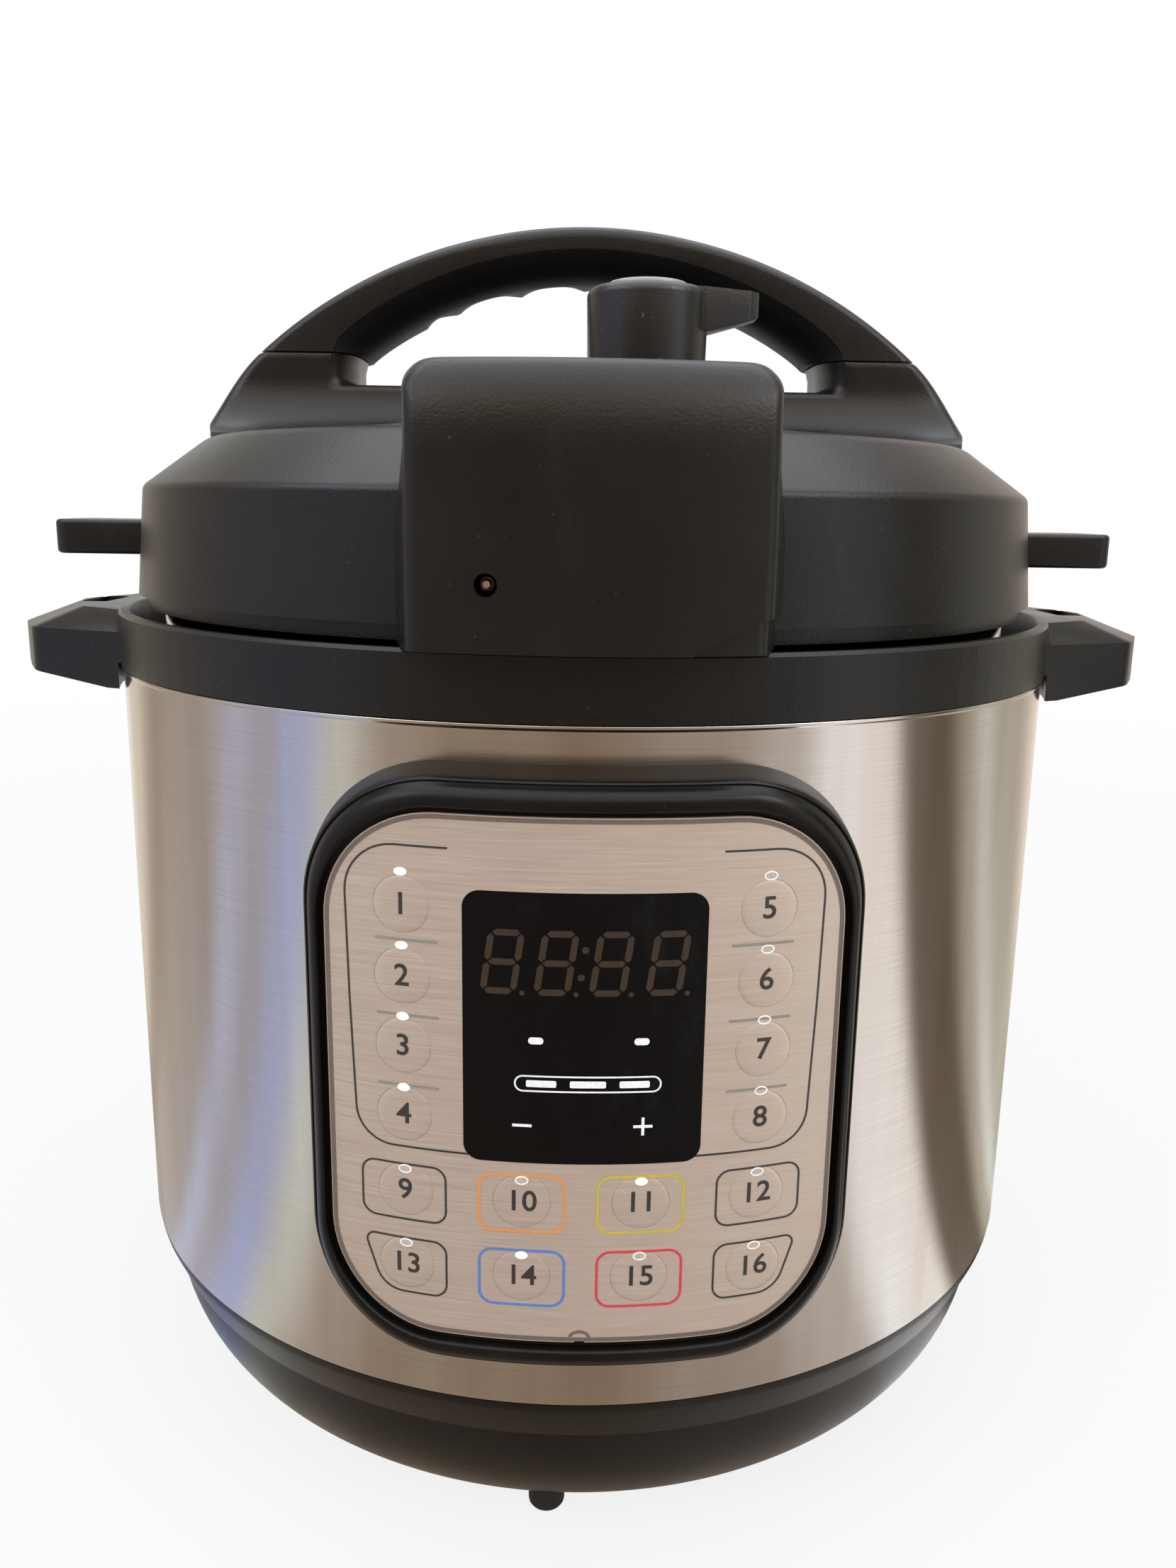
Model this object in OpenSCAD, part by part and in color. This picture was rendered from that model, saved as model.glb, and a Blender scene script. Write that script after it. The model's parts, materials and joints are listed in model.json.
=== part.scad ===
// Electric pressure cooker: round steel housing, lift-out pot and a turn-to-lock lid.
// Millimetres, +Z up. The cooker's axis is the Z axis, the feet stand at z = 0, the front is -Y.

/* [Housing] */
// Outside radius of the steel sleeve
sleeve_r = 131; // [126:1:136]
// Sheet thickness of the steel sleeve
sleeve_t = 0.8; // [0.6:0.1:1.2]
// Height of the steel sleeve
sleeve_h = 157.8; // [150:0.1:170]
// Height of the sleeve's lower edge above the table
sleeve_z = 50; // [46:1:56]
// Wall of the plastic mouldings
wall = 2.5; // [2:0.1:3]
// Height of the black top ring
ring_h = 14.4; // [13:0.1:18]
// How far the top ring stands proud of the sleeve
ring_lip = 0.6; // [0.3:0.1:1]
// Wall of the top ring
ring_wall = 3; // [2.5:0.1:3.5]
// Radius of the crease round the base
crease_r = 126.7; // [124:0.1:128]
// Distance of the crease below the sleeve's edge
crease_drop = 11.4; // [9:0.1:14]
// Radius of the base at its lower edge
base_r = 111.9; // [106:0.1:114]

/* [Feet] */
// Radius of one foot
foot_r = 4.6; // [4:0.1:6]
// Height of a foot below the base
foot_h = 8; // [6:0.5:10]
// Radius of the circle that the feet stand on
foot_circle = 104; // [98:1:105]

/* [Side handles] */
// Reach of the handle tips from the axis
handle_reach = 164; // [158:1:170]
// Half width of a handle where it leaves the ring
handle_root = 40; // [36:1:44]
// Half width of a handle at its tip
handle_tip = 27; // [24:1:32]
// Height of the tip's outer face
tip_h = 10; // [8:0.5:12]
// Length of the slot that holds a lid fin
slot_len = 32; // [31:1:36]
// Width of the slot that holds a lid fin
slot_w = 11.5; // [11:0.5:13]

/* [Pots] */
// Outside radius of the lift-out pot
pot_r = 108.6; // [106:0.1:109.5]
// Sheet thickness of the lift-out pot
pot_t = 1; // [0.8:0.1:1.4]
// Height of the lift-out pot's floor above the sleeve's lower edge
pot_lift = 12; // [10:0.5:14]
// Inside radius of the pressure pot
outer_pot_r = 111; // [110.4:0.1:111.5]
// Sheet thickness of the pressure pot
outer_pot_t = 1.2; // [1:0.1:1.4]
// Number of locking teeth
tooth_count = 6; // [4:1:6]
// Angle covered by one tooth of the pot
tooth_angle = 24; // [20:1:26]
// Radial reach of a locking tooth
tooth_reach = 3.5; // [3:0.1:4]

/* [Lid] */
// Radius of the lid skirt at its lower edge
skirt_r = 126; // [124:0.5:128]
// Radius of the crease round the lid
shoulder_r = 123.5; // [122:0.5:125]
// Height of the lid skirt
skirt_h = 27.8; // [26:0.1:32]
// Gap between the top ring and the lid skirt
skirt_gap = 4.2; // [3:0.1:5]
// Radius of the lid's flat top
crown_r = 106; // [100:1:108]
// Rise of the cone above the crease
cone_h = 13.2; // [10:0.1:14]
// Reach of the lid fins from the axis
fin_reach = 152; // [148:1:156]
// Width of a lid fin
fin_w = 28; // [24:1:30]
// Thickness of a lid fin
fin_t = 9.6; // [8:0.1:10.5]

/* [Lid handle] */
// Radius of the handle's outer arc
arch_r = 137.3; // [130:0.1:142]
// Radius of the handle's foot below its seam
leg_r = 45; // [40:1:55]
// Height of the handle's top above the lid's flat top
arch_rise = 56.7; // [54:0.1:62]
// Width of the handle from front to back
arch_w = 40; // [36:1:44]
// Thickness of the upper handle shell at the top
arch_t = 6.6; // [6:0.1:9]
// Depth of the soft grip under the shell
grip_t = 7; // [6:0.5:9]
// Number of finger hollows in the grip
finger_count = 4; // [3:1:5]

/* [Valve block] */
// Reach of the block's front face from the axis
block_reach = 141; // [138:1:143]
// Half width of the block's front face
block_half = 33.4; // [31:0.1:36]
// Height of the block's top above the lid's flat top
block_rise = 10.6; // [9:0.1:13]
// Rounding of the block's top front edge
block_round = 9; // [7:1:12]
// Rounding of the block's top side edges
block_edge = 6; // [4:0.5:8]
// Radius of the steam release knob
knob_r = 14.2; // [13:0.1:15]
// Height of the steam release knob
knob_h = 20; // [17:0.5:22]
// Length of the knob's lever from its axis
lever_len = 24.5; // [22:0.5:27]
// Sideways place of the knob's axis
knob_x = 12.4; // [11:0.1:14]
// Distance of the knob's axis from the lid's axis
knob_y = 84; // [82:0.5:85]
// Sideways place of the float valve
float_x = 20; // [18:0.5:21]
// Lift of the float valve
float_lift = 4; // [3:0.5:4]
// Travel of the lock pin
pin_travel = 3; // [2:0.5:3]

/* [Control panel] */
// How far the panel's face stands off the sleeve
panel_proud = 12; // [10:0.5:14]
// How far the bezel stands proud of the panel's face
bezel_lip = 2; // [1:0.5:3]
// Half width of the bezel
bezel_half = 60; // [58:1:62]
// Height of the bezel
bezel_h = 132; // [128:1:134]
// Corner rounding of the bezel
bezel_round = 30; // [24:1:34]
// Width of the bezel's frame
bezel_frame = 6; // [5:0.5:7]
// Height of the panel's centre above the table
panel_z = 133.5; // [130:0.5:138]
// Thickness of the panel's face plate
plate_t = 1; // [0.8:0.1:1.2]
// Radius of one key
key_r = 6; // [5:0.1:6.3]
// Travel of one key
key_travel = 0.4; // [0.3:0.1:0.5]
// Height of the display window
window_h = 58.5; // [54:0.5:62]

/* [Condensation cup] */
// Half width of the cup
cup_half = 30; // [26:1:34]
// Height of the cup
cup_h = 54; // [48:1:60]
// Depth of the cup from front to back
cup_deep = 13; // [11:0.5:14]
// Wall of the cup
cup_wall = 1.5; // [1.2:0.1:2]

/* [Hidden] */
$fn = 96;

// Clearances
fit = 0.05;         // radial running fit of a shaft in its bore
slip = 0.3;         // gap between curved faces that move past each other
gap = 0.2;          // gap round a part that is set into a recess
eps = 0.01;

// Heights, from the table up
base_floor_z = foot_h;
crease_z = sleeve_z - crease_drop;
ring_z = sleeve_z + sleeve_h;
ring_top_z = ring_z + ring_h;
ring_r = sleeve_r + ring_lip;
trough_z = ring_z + 0.7;
trough_t = 2;
skirt_z = ring_top_z + skirt_gap;
shoulder_z = skirt_z + skirt_h;
crown_z = shoulder_z + cone_h;
block_top_z = crown_z + block_rise;
fin_z = skirt_z + 8.8;

// Pressure pot, its teeth and the lid's teeth
outer_pot_out = outer_pot_r + outer_pot_t;
flange_t = 1.6;
flange_z = ring_top_z - 6.1;
flange_r = outer_pot_out + 2.3;
tooth_r = flange_r + tooth_reach;
outer_pot_z = sleeve_z - 2;
pot_rim_t = 1.2;
pot_rim_z = flange_z + flange_t + slip;
pot_z = sleeve_z + pot_lift;
pot_corner = 14;
lid_wall_in = tooth_r + 0.4;
lid_wall_t = 1.2;
lid_tooth_t = 3;
lid_tooth_top = flange_z - 0.5;
lid_tooth_z = lid_tooth_top - lid_tooth_t;
lid_tooth_in = flange_r + slip;
seal_seat_z = pot_rim_z + pot_rim_t + 12;
lid_plate_z = seal_seat_z + 12;
lid_plate_r = 98;

// Heating
plate_top_z = pot_z - slip;
plate_h = 7;
plate_r = 84;
sensor_r = 9.2;
sensor_travel = 1.5;

// Panel
panel_r = sleeve_r + panel_proud;
bezel_r = panel_r + bezel_lip;
panel_back = panel_r - 9;
window_angle = 9.9;
side_angle = 15.1;
low_angle = 5;
side_rows = [172, 156.7, 141.4, 126.1];
low_rows = [108.6, 91.2];
plus_row = 126;
board_y = panel_r - 14;
board_t = 1.6;
board_half = 45;
stem_r = 2;
key_t = 1.2;
stem_end = panel_r - 6.5;

// Condensation cup
cup_in = sleeve_r + 1;
cup_out = cup_in + cup_deep;
cup_top_z = ring_z - 4;
rail_z = ring_z - 10;

// Valve block
knob_z = block_top_z;
knob_bore = 4;
float_r = 2.2;
float_hole = 4.5;
pin_x = float_x;
pin_z = skirt_z + 9.4;
pin_r = 1.5;
pin_end = lid_plate_r + lid_wall_t + pin_travel - 0.7;   // inner end of the lock pin
pin_guide = pin_end + 0.8;                               // inner face of the wall that guides it
collar_y = pin_guide + 3 + pin_travel + 0.5;             // collar that the spring pushes on
collar_t = 1.5;
collar_r = 2.8;
pin_spring = 9.5;

// Handle
seam_z = crown_z + 23.1;
arch_top_z = crown_z + arch_rise;
arch_c = arch_top_z - arch_r;
crease_arc = 112.5;
crease_c = arch_top_z - arch_t - crease_arc;
grip_arc = crease_arc - grip_t;
opening_z = crown_z + 14.8;
opening_half = 65;
screw_x = 78;       // handle screws, from the axis
screw_r = 1.85;
screw_head_r = 4;
screw_reach = 5.6;  // how far a screw enters the handle
screw_seat_z = crown_z + 1;

// ---- Helpers ----
function bez(a, b, c, n) = [for (i = [0 : n]) let (t = i / n)
  (1 - t) * (1 - t) * a + 2 * t * (1 - t) * b + t * t * c];
function arc(c, r, a0, a1, n) = [for (i = [0 : n]) let (a = a0 + (a1 - a0) * i / n)
  c + r * [cos(a), sin(a)]];
module rev(pts) rotate_extrude() polygon(pts);
module tube(r, r_in, z0, z1) translate([0, 0, z0]) difference() {
  cylinder(r = r, h = z1 - z0);
  translate([0, 0, -1]) cylinder(r = r_in, h = z1 - z0 + 2);
}
module post(r, z0, z1, x = 0, y = 0) translate([x, y, z0]) cylinder(r = r, h = z1 - z0);
module box(a, b) translate(a) cube(b - a);
// Points out of the front at an angle round the axis, at height z
module at_front(angle, z) translate([0, 0, z]) rotate([0, 0, angle]) rotate([90, 0, 0]) children();
// Shape drawn in X and Z, made deep along Y
module deep(y0, y1) translate([0, y1, 0]) rotate([90, 0, 0]) linear_extrude(y1 - y0) children();
// Rounded rectangle about a centre height
module rounded(half, h, r) {
  square([2 * half - 2 * r, h], center = true);
  square([2 * half, h - 2 * r], center = true);
  for (sx = [-1, 1], sz = [-1, 1]) translate([sx * (half - r), sz * (h / 2 - r)]) circle(r);
}
// Coil of round wire about the Z axis
function coil_ring(r, wire, h, turns, i, steps, sides) =
  let (a = 360 * turns * i / steps, z = h * i / steps)
  [for (j = [0 : sides - 1]) let (b = 360 * j / sides)
    [(r + wire * cos(b)) * cos(a), (r + wire * cos(b)) * sin(a), z + wire * sin(b)]];
module coil(r, wire, h, turns) {
  sides = 6;
  steps = turns * 14;
  rings = [for (i = [0 : steps]) each coil_ring(r, wire, h, turns, i, steps, sides)];
  faces = concat([[for (j = [0 : sides - 1]) j]],
    [for (i = [0 : steps - 1], j = [0 : sides - 1]) let (a = i * sides, k = (j + 1) % sides)
      [a + j, a + sides + j, a + sides + k, a + k]],
    [[for (j = [sides - 1 : -1 : 0]) steps * sides + j]]);
  polyhedron(rings, faces);
}

// ---- Base ----
base_bez = [[crease_r - 0.8, crease_z - 0.6], [crease_r - 2.2, crease_z - 18], [base_r, base_floor_z + 1.6]];
lip_r = sleeve_r - sleeve_t - gap;
lip_h = 12;
inlet_half = 17;
inlet_h = 24;
inlet_z = base_floor_z + 6;
inlet_y = crease_r + 1;
module base_profile() {
  outer = bez(base_bez[0], base_bez[1], base_bez[2], 8);
  polygon(concat([[0, base_floor_z], [base_r - 3.5, base_floor_z]], [for (i = [8 : -1 : 0]) outer[i]],
    [[crease_r, crease_z], [sleeve_r - 0.5, sleeve_z - 2.5], [sleeve_r - 0.3, sleeve_z], [lip_r, sleeve_z],
     [lip_r, sleeve_z + lip_h], [lip_r - wall, sleeve_z + lip_h], [lip_r - wall, sleeve_z]],
    [for (i = [0 : 7]) outer[i] - [wall, 0]],
    [[base_r - wall - 1, base_floor_z + wall], [0, base_floor_z + wall]]));
}
module foot_spots() for (a = [-94, -4, 86, 176]) rotate([0, 0, a]) translate([foot_circle, 0, 0]) children();
screw_circle = 60;
module screw_spots() for (a = [45 : 90 : 315]) rotate([0, 0, a]) translate([screw_circle, 0, 0]) children();
inlet_deep = 22;
module inlet_cut() box([-inlet_half - gap, inlet_y - inlet_deep - gap, inlet_z - gap],
  [inlet_half + gap, inlet_y + 20, inlet_z + inlet_h + gap]);
// Block with rounded corners round the socket, from one depth to another
module inlet_block(y0, y1, grow, r) deep(y0, y1) translate([0, inlet_z + inlet_h / 2])
  rounded(inlet_half + grow, inlet_h + 2 * grow, r);
// Flat-faced surround that brings the socket out to the widest part of the base
module inlet_surround() inlet_block(inlet_y - inlet_deep + 4, inlet_y, 3, 5);
module base_shell() color([0.13, 0.13, 0.135]) {
  difference() {
    union() {
      rotate_extrude() base_profile();
      inlet_surround();
    }
    foot_spots() post(2, base_floor_z - 1, base_floor_z + wall + 1);
    screw_spots() post(2.2, base_floor_z - 1, base_floor_z + wall + 1);
    for (a = [0 : 30 : 330]) rotate([0, 0, a + 15])
      box([72, -1.5, base_floor_z - 1], [94, 1.5, base_floor_z + wall + 1]);
    inlet_cut();
  }
  // Pillars that carry the power board
  for (x = [-34, 34], y = [-22, 22]) difference() {
    post(4, base_floor_z + wall - eps, board_seat_z, x, y);
    post(1.2, board_seat_z - 6, board_seat_z + 1, x, y);
  }
}
board_seat_z = base_floor_z + 9;
module feet() color([0.07, 0.07, 0.07]) foot_spots() {
  rev(concat([[0, 0]], arc([foot_r - 1.5, 1.5], 1.5, -90, 0, 4),
    [[foot_r, base_floor_z], [0, base_floor_z]]));
  post(1.95, base_floor_z - eps, base_floor_z + wall + 1);
  rev([[0, base_floor_z + wall], [2.8, base_floor_z + wall], [1.2, base_floor_z + wall + 2.2],
    [0, base_floor_z + wall + 2.2]]);
}
module base_screws() color([0.6, 0.6, 0.62]) screw_spots() {
  post(2, base_floor_z - eps, outer_pot_z);
  post(4, base_floor_z - 2.2, base_floor_z);
}
module power_inlet() color([0.1, 0.1, 0.1]) difference() {
  union() {
    box([-inlet_half, inlet_y - inlet_deep, inlet_z], [inlet_half, inlet_y, inlet_z + inlet_h]);
    inlet_block(inlet_y, inlet_y + 1.6, 2, 4);
  }
  inlet_block(inlet_y - 15, inlet_y + 3, -4.3, 3);
  inlet_pins();
}
module inlet_pins() color([0.75, 0.72, 0.62]) for (x = [-7, 0, 7])
  box([x - 1, inlet_y - 28, inlet_z + inlet_h / 2 - (x == 0 ? 0 : 4)],
    [x + 1, inlet_y - 6, inlet_z + inlet_h / 2 + (x == 0 ? 4 : 0)]);
module power_board() color([0.16, 0.32, 0.2]) {
  difference() {
    box([-42, -30, board_seat_z], [42, 30, board_seat_z + 1.6]);
    for (x = [-34, 34], y = [-22, 22]) post(1.6, board_seat_z - 1, board_seat_z + 3, x, y);
  }
  box([-26, -16, board_seat_z + 1.5], [-8, 4, board_seat_z + 17]);
  box([4, -14, board_seat_z + 1.5], [24, 10, board_seat_z + 20]);
  post(6, board_seat_z + 1.5, board_seat_z + 18, -16, 16);
  for (x = [-2, 6, 14, 22]) post(2.4, board_seat_z + 1.5, board_seat_z + 9, x, 20);
}
switch_y = 57;
module pressure_switch() color([0.85, 0.83, 0.78]) {
  box([-12, -switch_y - 7, outer_pot_z - 16], [12, -switch_y + 7, outer_pot_z - 3]);
  post(3, outer_pot_z - 3 - eps, outer_pot_z, 0, -switch_y);
}

// ---- Housing ----
module at_the_front() deep(-bezel_r - 30, -sleeve_r / 2) children();
module panel_hole(inset) at_the_front() translate([0, panel_z])
  rounded(bezel_half - inset, bezel_h - 2 * inset, bezel_round - inset);
module steel_housing() color([0.72, 0.7, 0.67]) difference() {
  tube(sleeve_r, sleeve_r - sleeve_t, sleeve_z, ring_z);
  panel_hole(7);
}
module handle_plan() {
  half = [[0, handle_root + 6], [ring_r - 8, handle_root + 6], [ring_r + 2, handle_root],
    [handle_reach - 11, handle_tip + 5], [handle_reach - 3, handle_tip - 2],
    [handle_reach - 1, handle_tip - 9], [handle_reach, 0]];
  polygon(concat(half, [for (i = [5 : -1 : 0]) [half[i][0], -half[i][1]]]));
}
module side_handle() difference() {
  intersection() {
    translate([0, 0, ring_z - 10]) linear_extrude(40) handle_plan();
    deep(-60, 60) polygon([[ring_r - ring_wall + 1, ring_z - 6.5], [ring_r - 1, ring_z - 7.3],
      [handle_reach + 1, ring_z - 0.3], [handle_reach + 1, ring_z - 0.3 + tip_h],
      [handle_reach - 12, ring_top_z - 0.8], [ring_r - ring_wall + 1, ring_top_z - 0.8]]);
  }
  post(ring_r - ring_wall + eps, ring_z - 20, ring_top_z + 5);
  post(sleeve_r + slip, ring_z - 20, ring_z);
  fin_slot();
}
slot_x = ring_r + 6.5;
module fin_slot() box([slot_x, -slot_len / 2, ring_z - 20], [slot_x + slot_w, slot_len / 2, ring_top_z + 5]);
module top_ring() color([0.11, 0.11, 0.115]) {
  difference() {
    union() {
      rev([[ring_r - ring_wall, ring_z - 8], [ring_r - ring_wall, ring_top_z - 0.5],
        [ring_r - ring_wall + 0.5, ring_top_z], [ring_r - 0.8, ring_top_z], [ring_r, ring_top_z - 0.8],
        [ring_r, ring_z], [lip_r, ring_z], [lip_r, ring_z - 8]]);
      rev([[outer_pot_out + slip, trough_z], [ring_r - ring_wall + 0.2, trough_z],
        [ring_r - ring_wall + 0.2, trough_z + trough_t],
        [flange_r - 0.5, trough_z + trough_t], [flange_r - 0.5, flange_z], [outer_pot_out + slip, flange_z]]);
      spout();
    }
    // Drain from the trough to the cup
    box([-3, ring_r - ring_wall - 3, trough_z + trough_t - eps], [3, cup_in + 5, trough_z + trough_t + 3]);
    box([-3, cup_in + 2, ring_z - 8], [3, cup_in + 5, trough_z + trough_t + 3]);
  }
  side_handle();
  mirror([1, 0, 0]) side_handle();
  cup_rail();
  mirror([1, 0, 0]) cup_rail();
}
module spout() difference() {
  intersection() {
    box([-6, ring_r - 1.5, ring_z - 3], [6, cup_in + 7, ring_z + 8]);
    post(cup_out - 3, ring_z - 10, ring_z + 20);
  }
  post(sleeve_r + slip, ring_z - 10, ring_z);
}
module cup_rail() intersection() {
  difference() {
    union() {
      box([cup_half + 3.4, ring_r - 12, rail_z - 2.6], [cup_half + 6, cup_out, ring_z + 6]);
      box([cup_half + 0.5, ring_r - 12, rail_z - 2.6], [cup_half + 3.5, cup_out, rail_z - slip]);
    }
    post(sleeve_r + 0.3, ring_z - 40, ring_z - eps);
    post(ring_r - 1.5, ring_z - 1, ring_top_z);
  }
  post(cup_out - 1, ring_z - 40, ring_top_z);
}
module condensation_cup() color([0.75, 0.78, 0.8, 0.5]) difference() {
  union() {
    intersection() {
      tube(cup_out, cup_in, cup_top_z - cup_h, cup_top_z);
      box([-cup_half, 0, 0], [cup_half, 200, 400]);
    }
    intersection() {
      tube(cup_out - 1, cup_in, rail_z, rail_z + 2);
      box([-cup_half - 3, 0, 0], [cup_half + 3, 200, 400]);
    }
  }
  intersection() {
    tube(cup_out - cup_wall, cup_in + cup_wall, cup_top_z - cup_h + cup_wall, cup_top_z + 1);
    box([-cup_half + cup_wall, 0, 0], [cup_half - cup_wall, 200, 400]);
  }
}

// ---- Pots and heating ----
module tooth_sector(r0, r1, z0, z1, half) intersection() {
  tube(r1, r0, z0, z1);
  translate([0, 0, z0 - 1]) linear_extrude(z1 - z0 + 2)
    polygon([[0, 0], [200 * cos(half), -200 * sin(half)], [220, 0], [200 * cos(half), 200 * sin(half)]]);
}
module pot_shell(r, t, z0, z1, corner, rim_r, rim_t) rev(concat(
  [[0, z0]], arc([r - corner, z0 + corner], corner, -90, 0, 8),
  [[r, z1 - rim_t], [rim_r, z1 - rim_t], [rim_r, z1], [r - t, z1]],
  arc([r - corner, z0 + corner], corner - t, 0, -90, 8), [[0, z0 + t]]));
module outer_pot() color([0.6, 0.6, 0.6]) {
  difference() {
    pot_shell(outer_pot_out, outer_pot_t, outer_pot_z, flange_z + flange_t, pot_corner + 3,
      flange_r, flange_t);
    post(5, outer_pot_z - 1, outer_pot_z + 5, 40, 0);
    post(5, outer_pot_z - 1, outer_pot_z + 5, -40, 0);
  }
  for (i = [0 : tooth_count - 1]) rotate([0, 0, i * 360 / tooth_count + 30])
    tooth_sector(flange_r - 0.2, tooth_r, flange_z, flange_z + flange_t, tooth_angle / 2);
}
module inner_pot() color([0.78, 0.77, 0.75])
  pot_shell(pot_r, pot_t, pot_z, pot_rim_z + pot_rim_t, pot_corner, outer_pot_out + 1.4, pot_rim_t);
plate_bottom_z = plate_top_z - plate_h;
module heating_plate() color([0.66, 0.67, 0.68]) difference() {
  union() {
    rev([[0, plate_bottom_z], [plate_r, plate_bottom_z], [plate_r, plate_top_z - 1.5],
      [plate_r - 1.5, plate_top_z], [0, plate_top_z]]);
    for (a = [30 : 120 : 270]) rotate([0, 0, a])
      post(4, outer_pot_z + outer_pot_t, plate_bottom_z + 1, 66, 0);
    for (x = [-40, 40]) post(3, outer_pot_z - 6, plate_bottom_z + 1, x, 0);
  }
  post(sensor_r + 0.4, plate_bottom_z - 1, plate_top_z + 1);
}
holder_top_z = plate_top_z - 3.8 - sensor_travel - 0.8;
module sensor_holder() color([0.55, 0.55, 0.56]) difference() {
  union() {
    post(8.5, outer_pot_z + outer_pot_t, holder_top_z);
    post(15, outer_pot_z + outer_pot_t, outer_pot_z + outer_pot_t + 1);
  }
  post(6.5, outer_pot_z + outer_pot_t + 1, holder_top_z + 1);
}
spring_z = outer_pot_z + outer_pot_t + 1;
cap_z = plate_top_z - 3.6;
module temperature_sensor() color([0.8, 0.8, 0.82]) {
  rev([[0, cap_z], [sensor_r, cap_z], [sensor_r, plate_top_z - 1], [sensor_r - 1, plate_top_z],
    [0, plate_top_z]]);
  post(3, spring_z + sensor_travel + 0.6, cap_z + eps);
}
module sensor_spring() color([0.7, 0.7, 0.7]) translate([0, 0, spring_z + 0.75])
  coil(4.8, 0.6, cap_z - spring_z - 1.5, 4);
module thermal_fuse() color([0.86, 0.84, 0.78]) translate([0, 48, plate_bottom_z - 2.5]) {
  rotate([0, 90, 0]) translate([0, 0, -9]) cylinder(r = 2, h = 18);
  box([-4, -3, 1.2], [4, 3, 2.5]);
}

// ---- Control panel ----
module panel_shell(r_out, r_in, half, h, r) intersection() {
  tube(r_out, r_in, panel_z - h, panel_z + h);
  at_the_front() translate([0, panel_z]) rounded(half, h, r);
}
plate_half = bezel_half - bezel_frame;
plate_h2 = bezel_h - 2 * bezel_frame - 4;
plate_round = bezel_round - bezel_frame;
module panel_bezel() color([0.06, 0.06, 0.065]) difference() {
  union() {
    panel_shell(bezel_r, sleeve_r, bezel_half - 1.5, bezel_h - 3, bezel_round - 1.5);
    panel_shell(bezel_r - 2, sleeve_r, bezel_half, bezel_h, bezel_round);
    panel_shell(sleeve_r + 1, sleeve_r - 5, bezel_half - 7.4, bezel_h - 14.8, bezel_round - 7.4);
  }
  panel_shell(bezel_r + 5, panel_r - plate_t, plate_half + gap, plate_h2 + 2 * gap, plate_round + gap);
  panel_shell(panel_r - plate_t + eps, sleeve_r - 20, plate_half - 3, plate_h2 - 6, plate_round - 3);
}
module window_cut(grow, r0, r1) intersection() {
  tube(r1, r0, panel_z - 80, panel_z + 80);
  at_the_front() translate([0, window_z]) rounded(window_half + grow, window_h + 2 * grow, 4);
}
window_half = panel_r * sin(window_angle);
window_z = side_rows[0] - 25.2;
module key_spots(set) for (k = set) at_front(k[0], k[1]) children();
side_keys = [for (s = [-1, 1], z = side_rows) [s * side_angle, z]];
low_keys = [for (z = low_rows, a = [-side_angle, -low_angle, low_angle, side_angle]) [a, z]];
pm_keys = [[-low_angle, plus_row], [low_angle, plus_row]];
module panel_plate() color([0.72, 0.65, 0.6]) difference() {
  panel_shell(panel_r, panel_r - plate_t, plate_half, plate_h2, plate_round);
  window_cut(gap, 0, 200);
  key_spots(concat(side_keys, low_keys)) translate([0, 0, panel_r - 5]) cylinder(r = key_r + gap, h = 10);
  at_the_front() translate([0, panel_z - plate_h2 / 2]) circle(1.6);
}
module display_window() color([0.02, 0.02, 0.025]) difference() {
  window_cut(0, panel_r - plate_t, panel_r + 0.1);
  key_spots(pm_keys) translate([0, 0, panel_r - 5]) cylinder(r = key_r + gap, h = 10);
}
module key(k) at_front(k[0], k[1]) {
  translate([0, 0, panel_r - key_t]) cylinder(r = key_r, h = key_t + 0.1);
  translate([0, 0, stem_end]) cylinder(r = stem_r, h = panel_r - stem_end - key_t + eps);
}
board_low = low_rows[1] - 6.2;
board_high = side_rows[0] + 10;
module display_module() color([0.05, 0.05, 0.05])
  box([-18, -board_y - 9, board_high - 30], [18, -board_y - board_t, board_high - 10]);
module control_board() color([0.14, 0.3, 0.18]) {
  box([-board_half, -board_y - board_t, board_low], [board_half, -board_y, board_high]);
  intersection() {
    key_spots(concat(side_keys, low_keys, pm_keys))
      translate([0, 0, board_y - 2]) cylinder(r = 2.4, h = stem_end - key_travel - 0.1 - board_y + 2);
    box([-200, -200, 0], [200, -board_y - board_t / 2, 400]);
  }
  // Standoffs to the bezel's back
  for (x = [-board_half + 3, board_half - 3], z = [board_low + 3, board_high - 3])
    translate([x, -board_y - board_t + eps, z]) rotate([90, 0, 0]) cylinder(r = 2.5, h = 2);
}

// ---- Lid ----
module sealing_ring() color([0.88, 0.87, 0.84]) {
  z0 = pot_rim_z + pot_rim_t + slip;
  z1 = seal_seat_z - slip;
  r0 = lid_plate_r + 6;
  r1 = lid_wall_in - 0.6;
  rev([[r0, z0 + 3], [r0 + 3, z0], [r1 - 3, z0], [r1, z0 + 2], [r1, z1 - 2], [r1 - 2, z1], [r0 + 1, z1],
    [r0, z1 - 1], [r0, z0 + 8], [r0 + 3, z0 + 7], [r0 + 3, z0 + 5]]);
}
rack_r = lid_plate_r + 3.8;
rack_z = seal_seat_z - 7;
module seal_rack() color([0.75, 0.75, 0.76]) {
  rotate_extrude() translate([rack_r, rack_z]) circle(1.3, $fn = 24);
  for (a = [15 : 60 : 315]) rotate([0, 0, a]) post(1.2, rack_z, seal_seat_z, rack_r, 0);
}
pipe_nut_r = 8;
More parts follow.
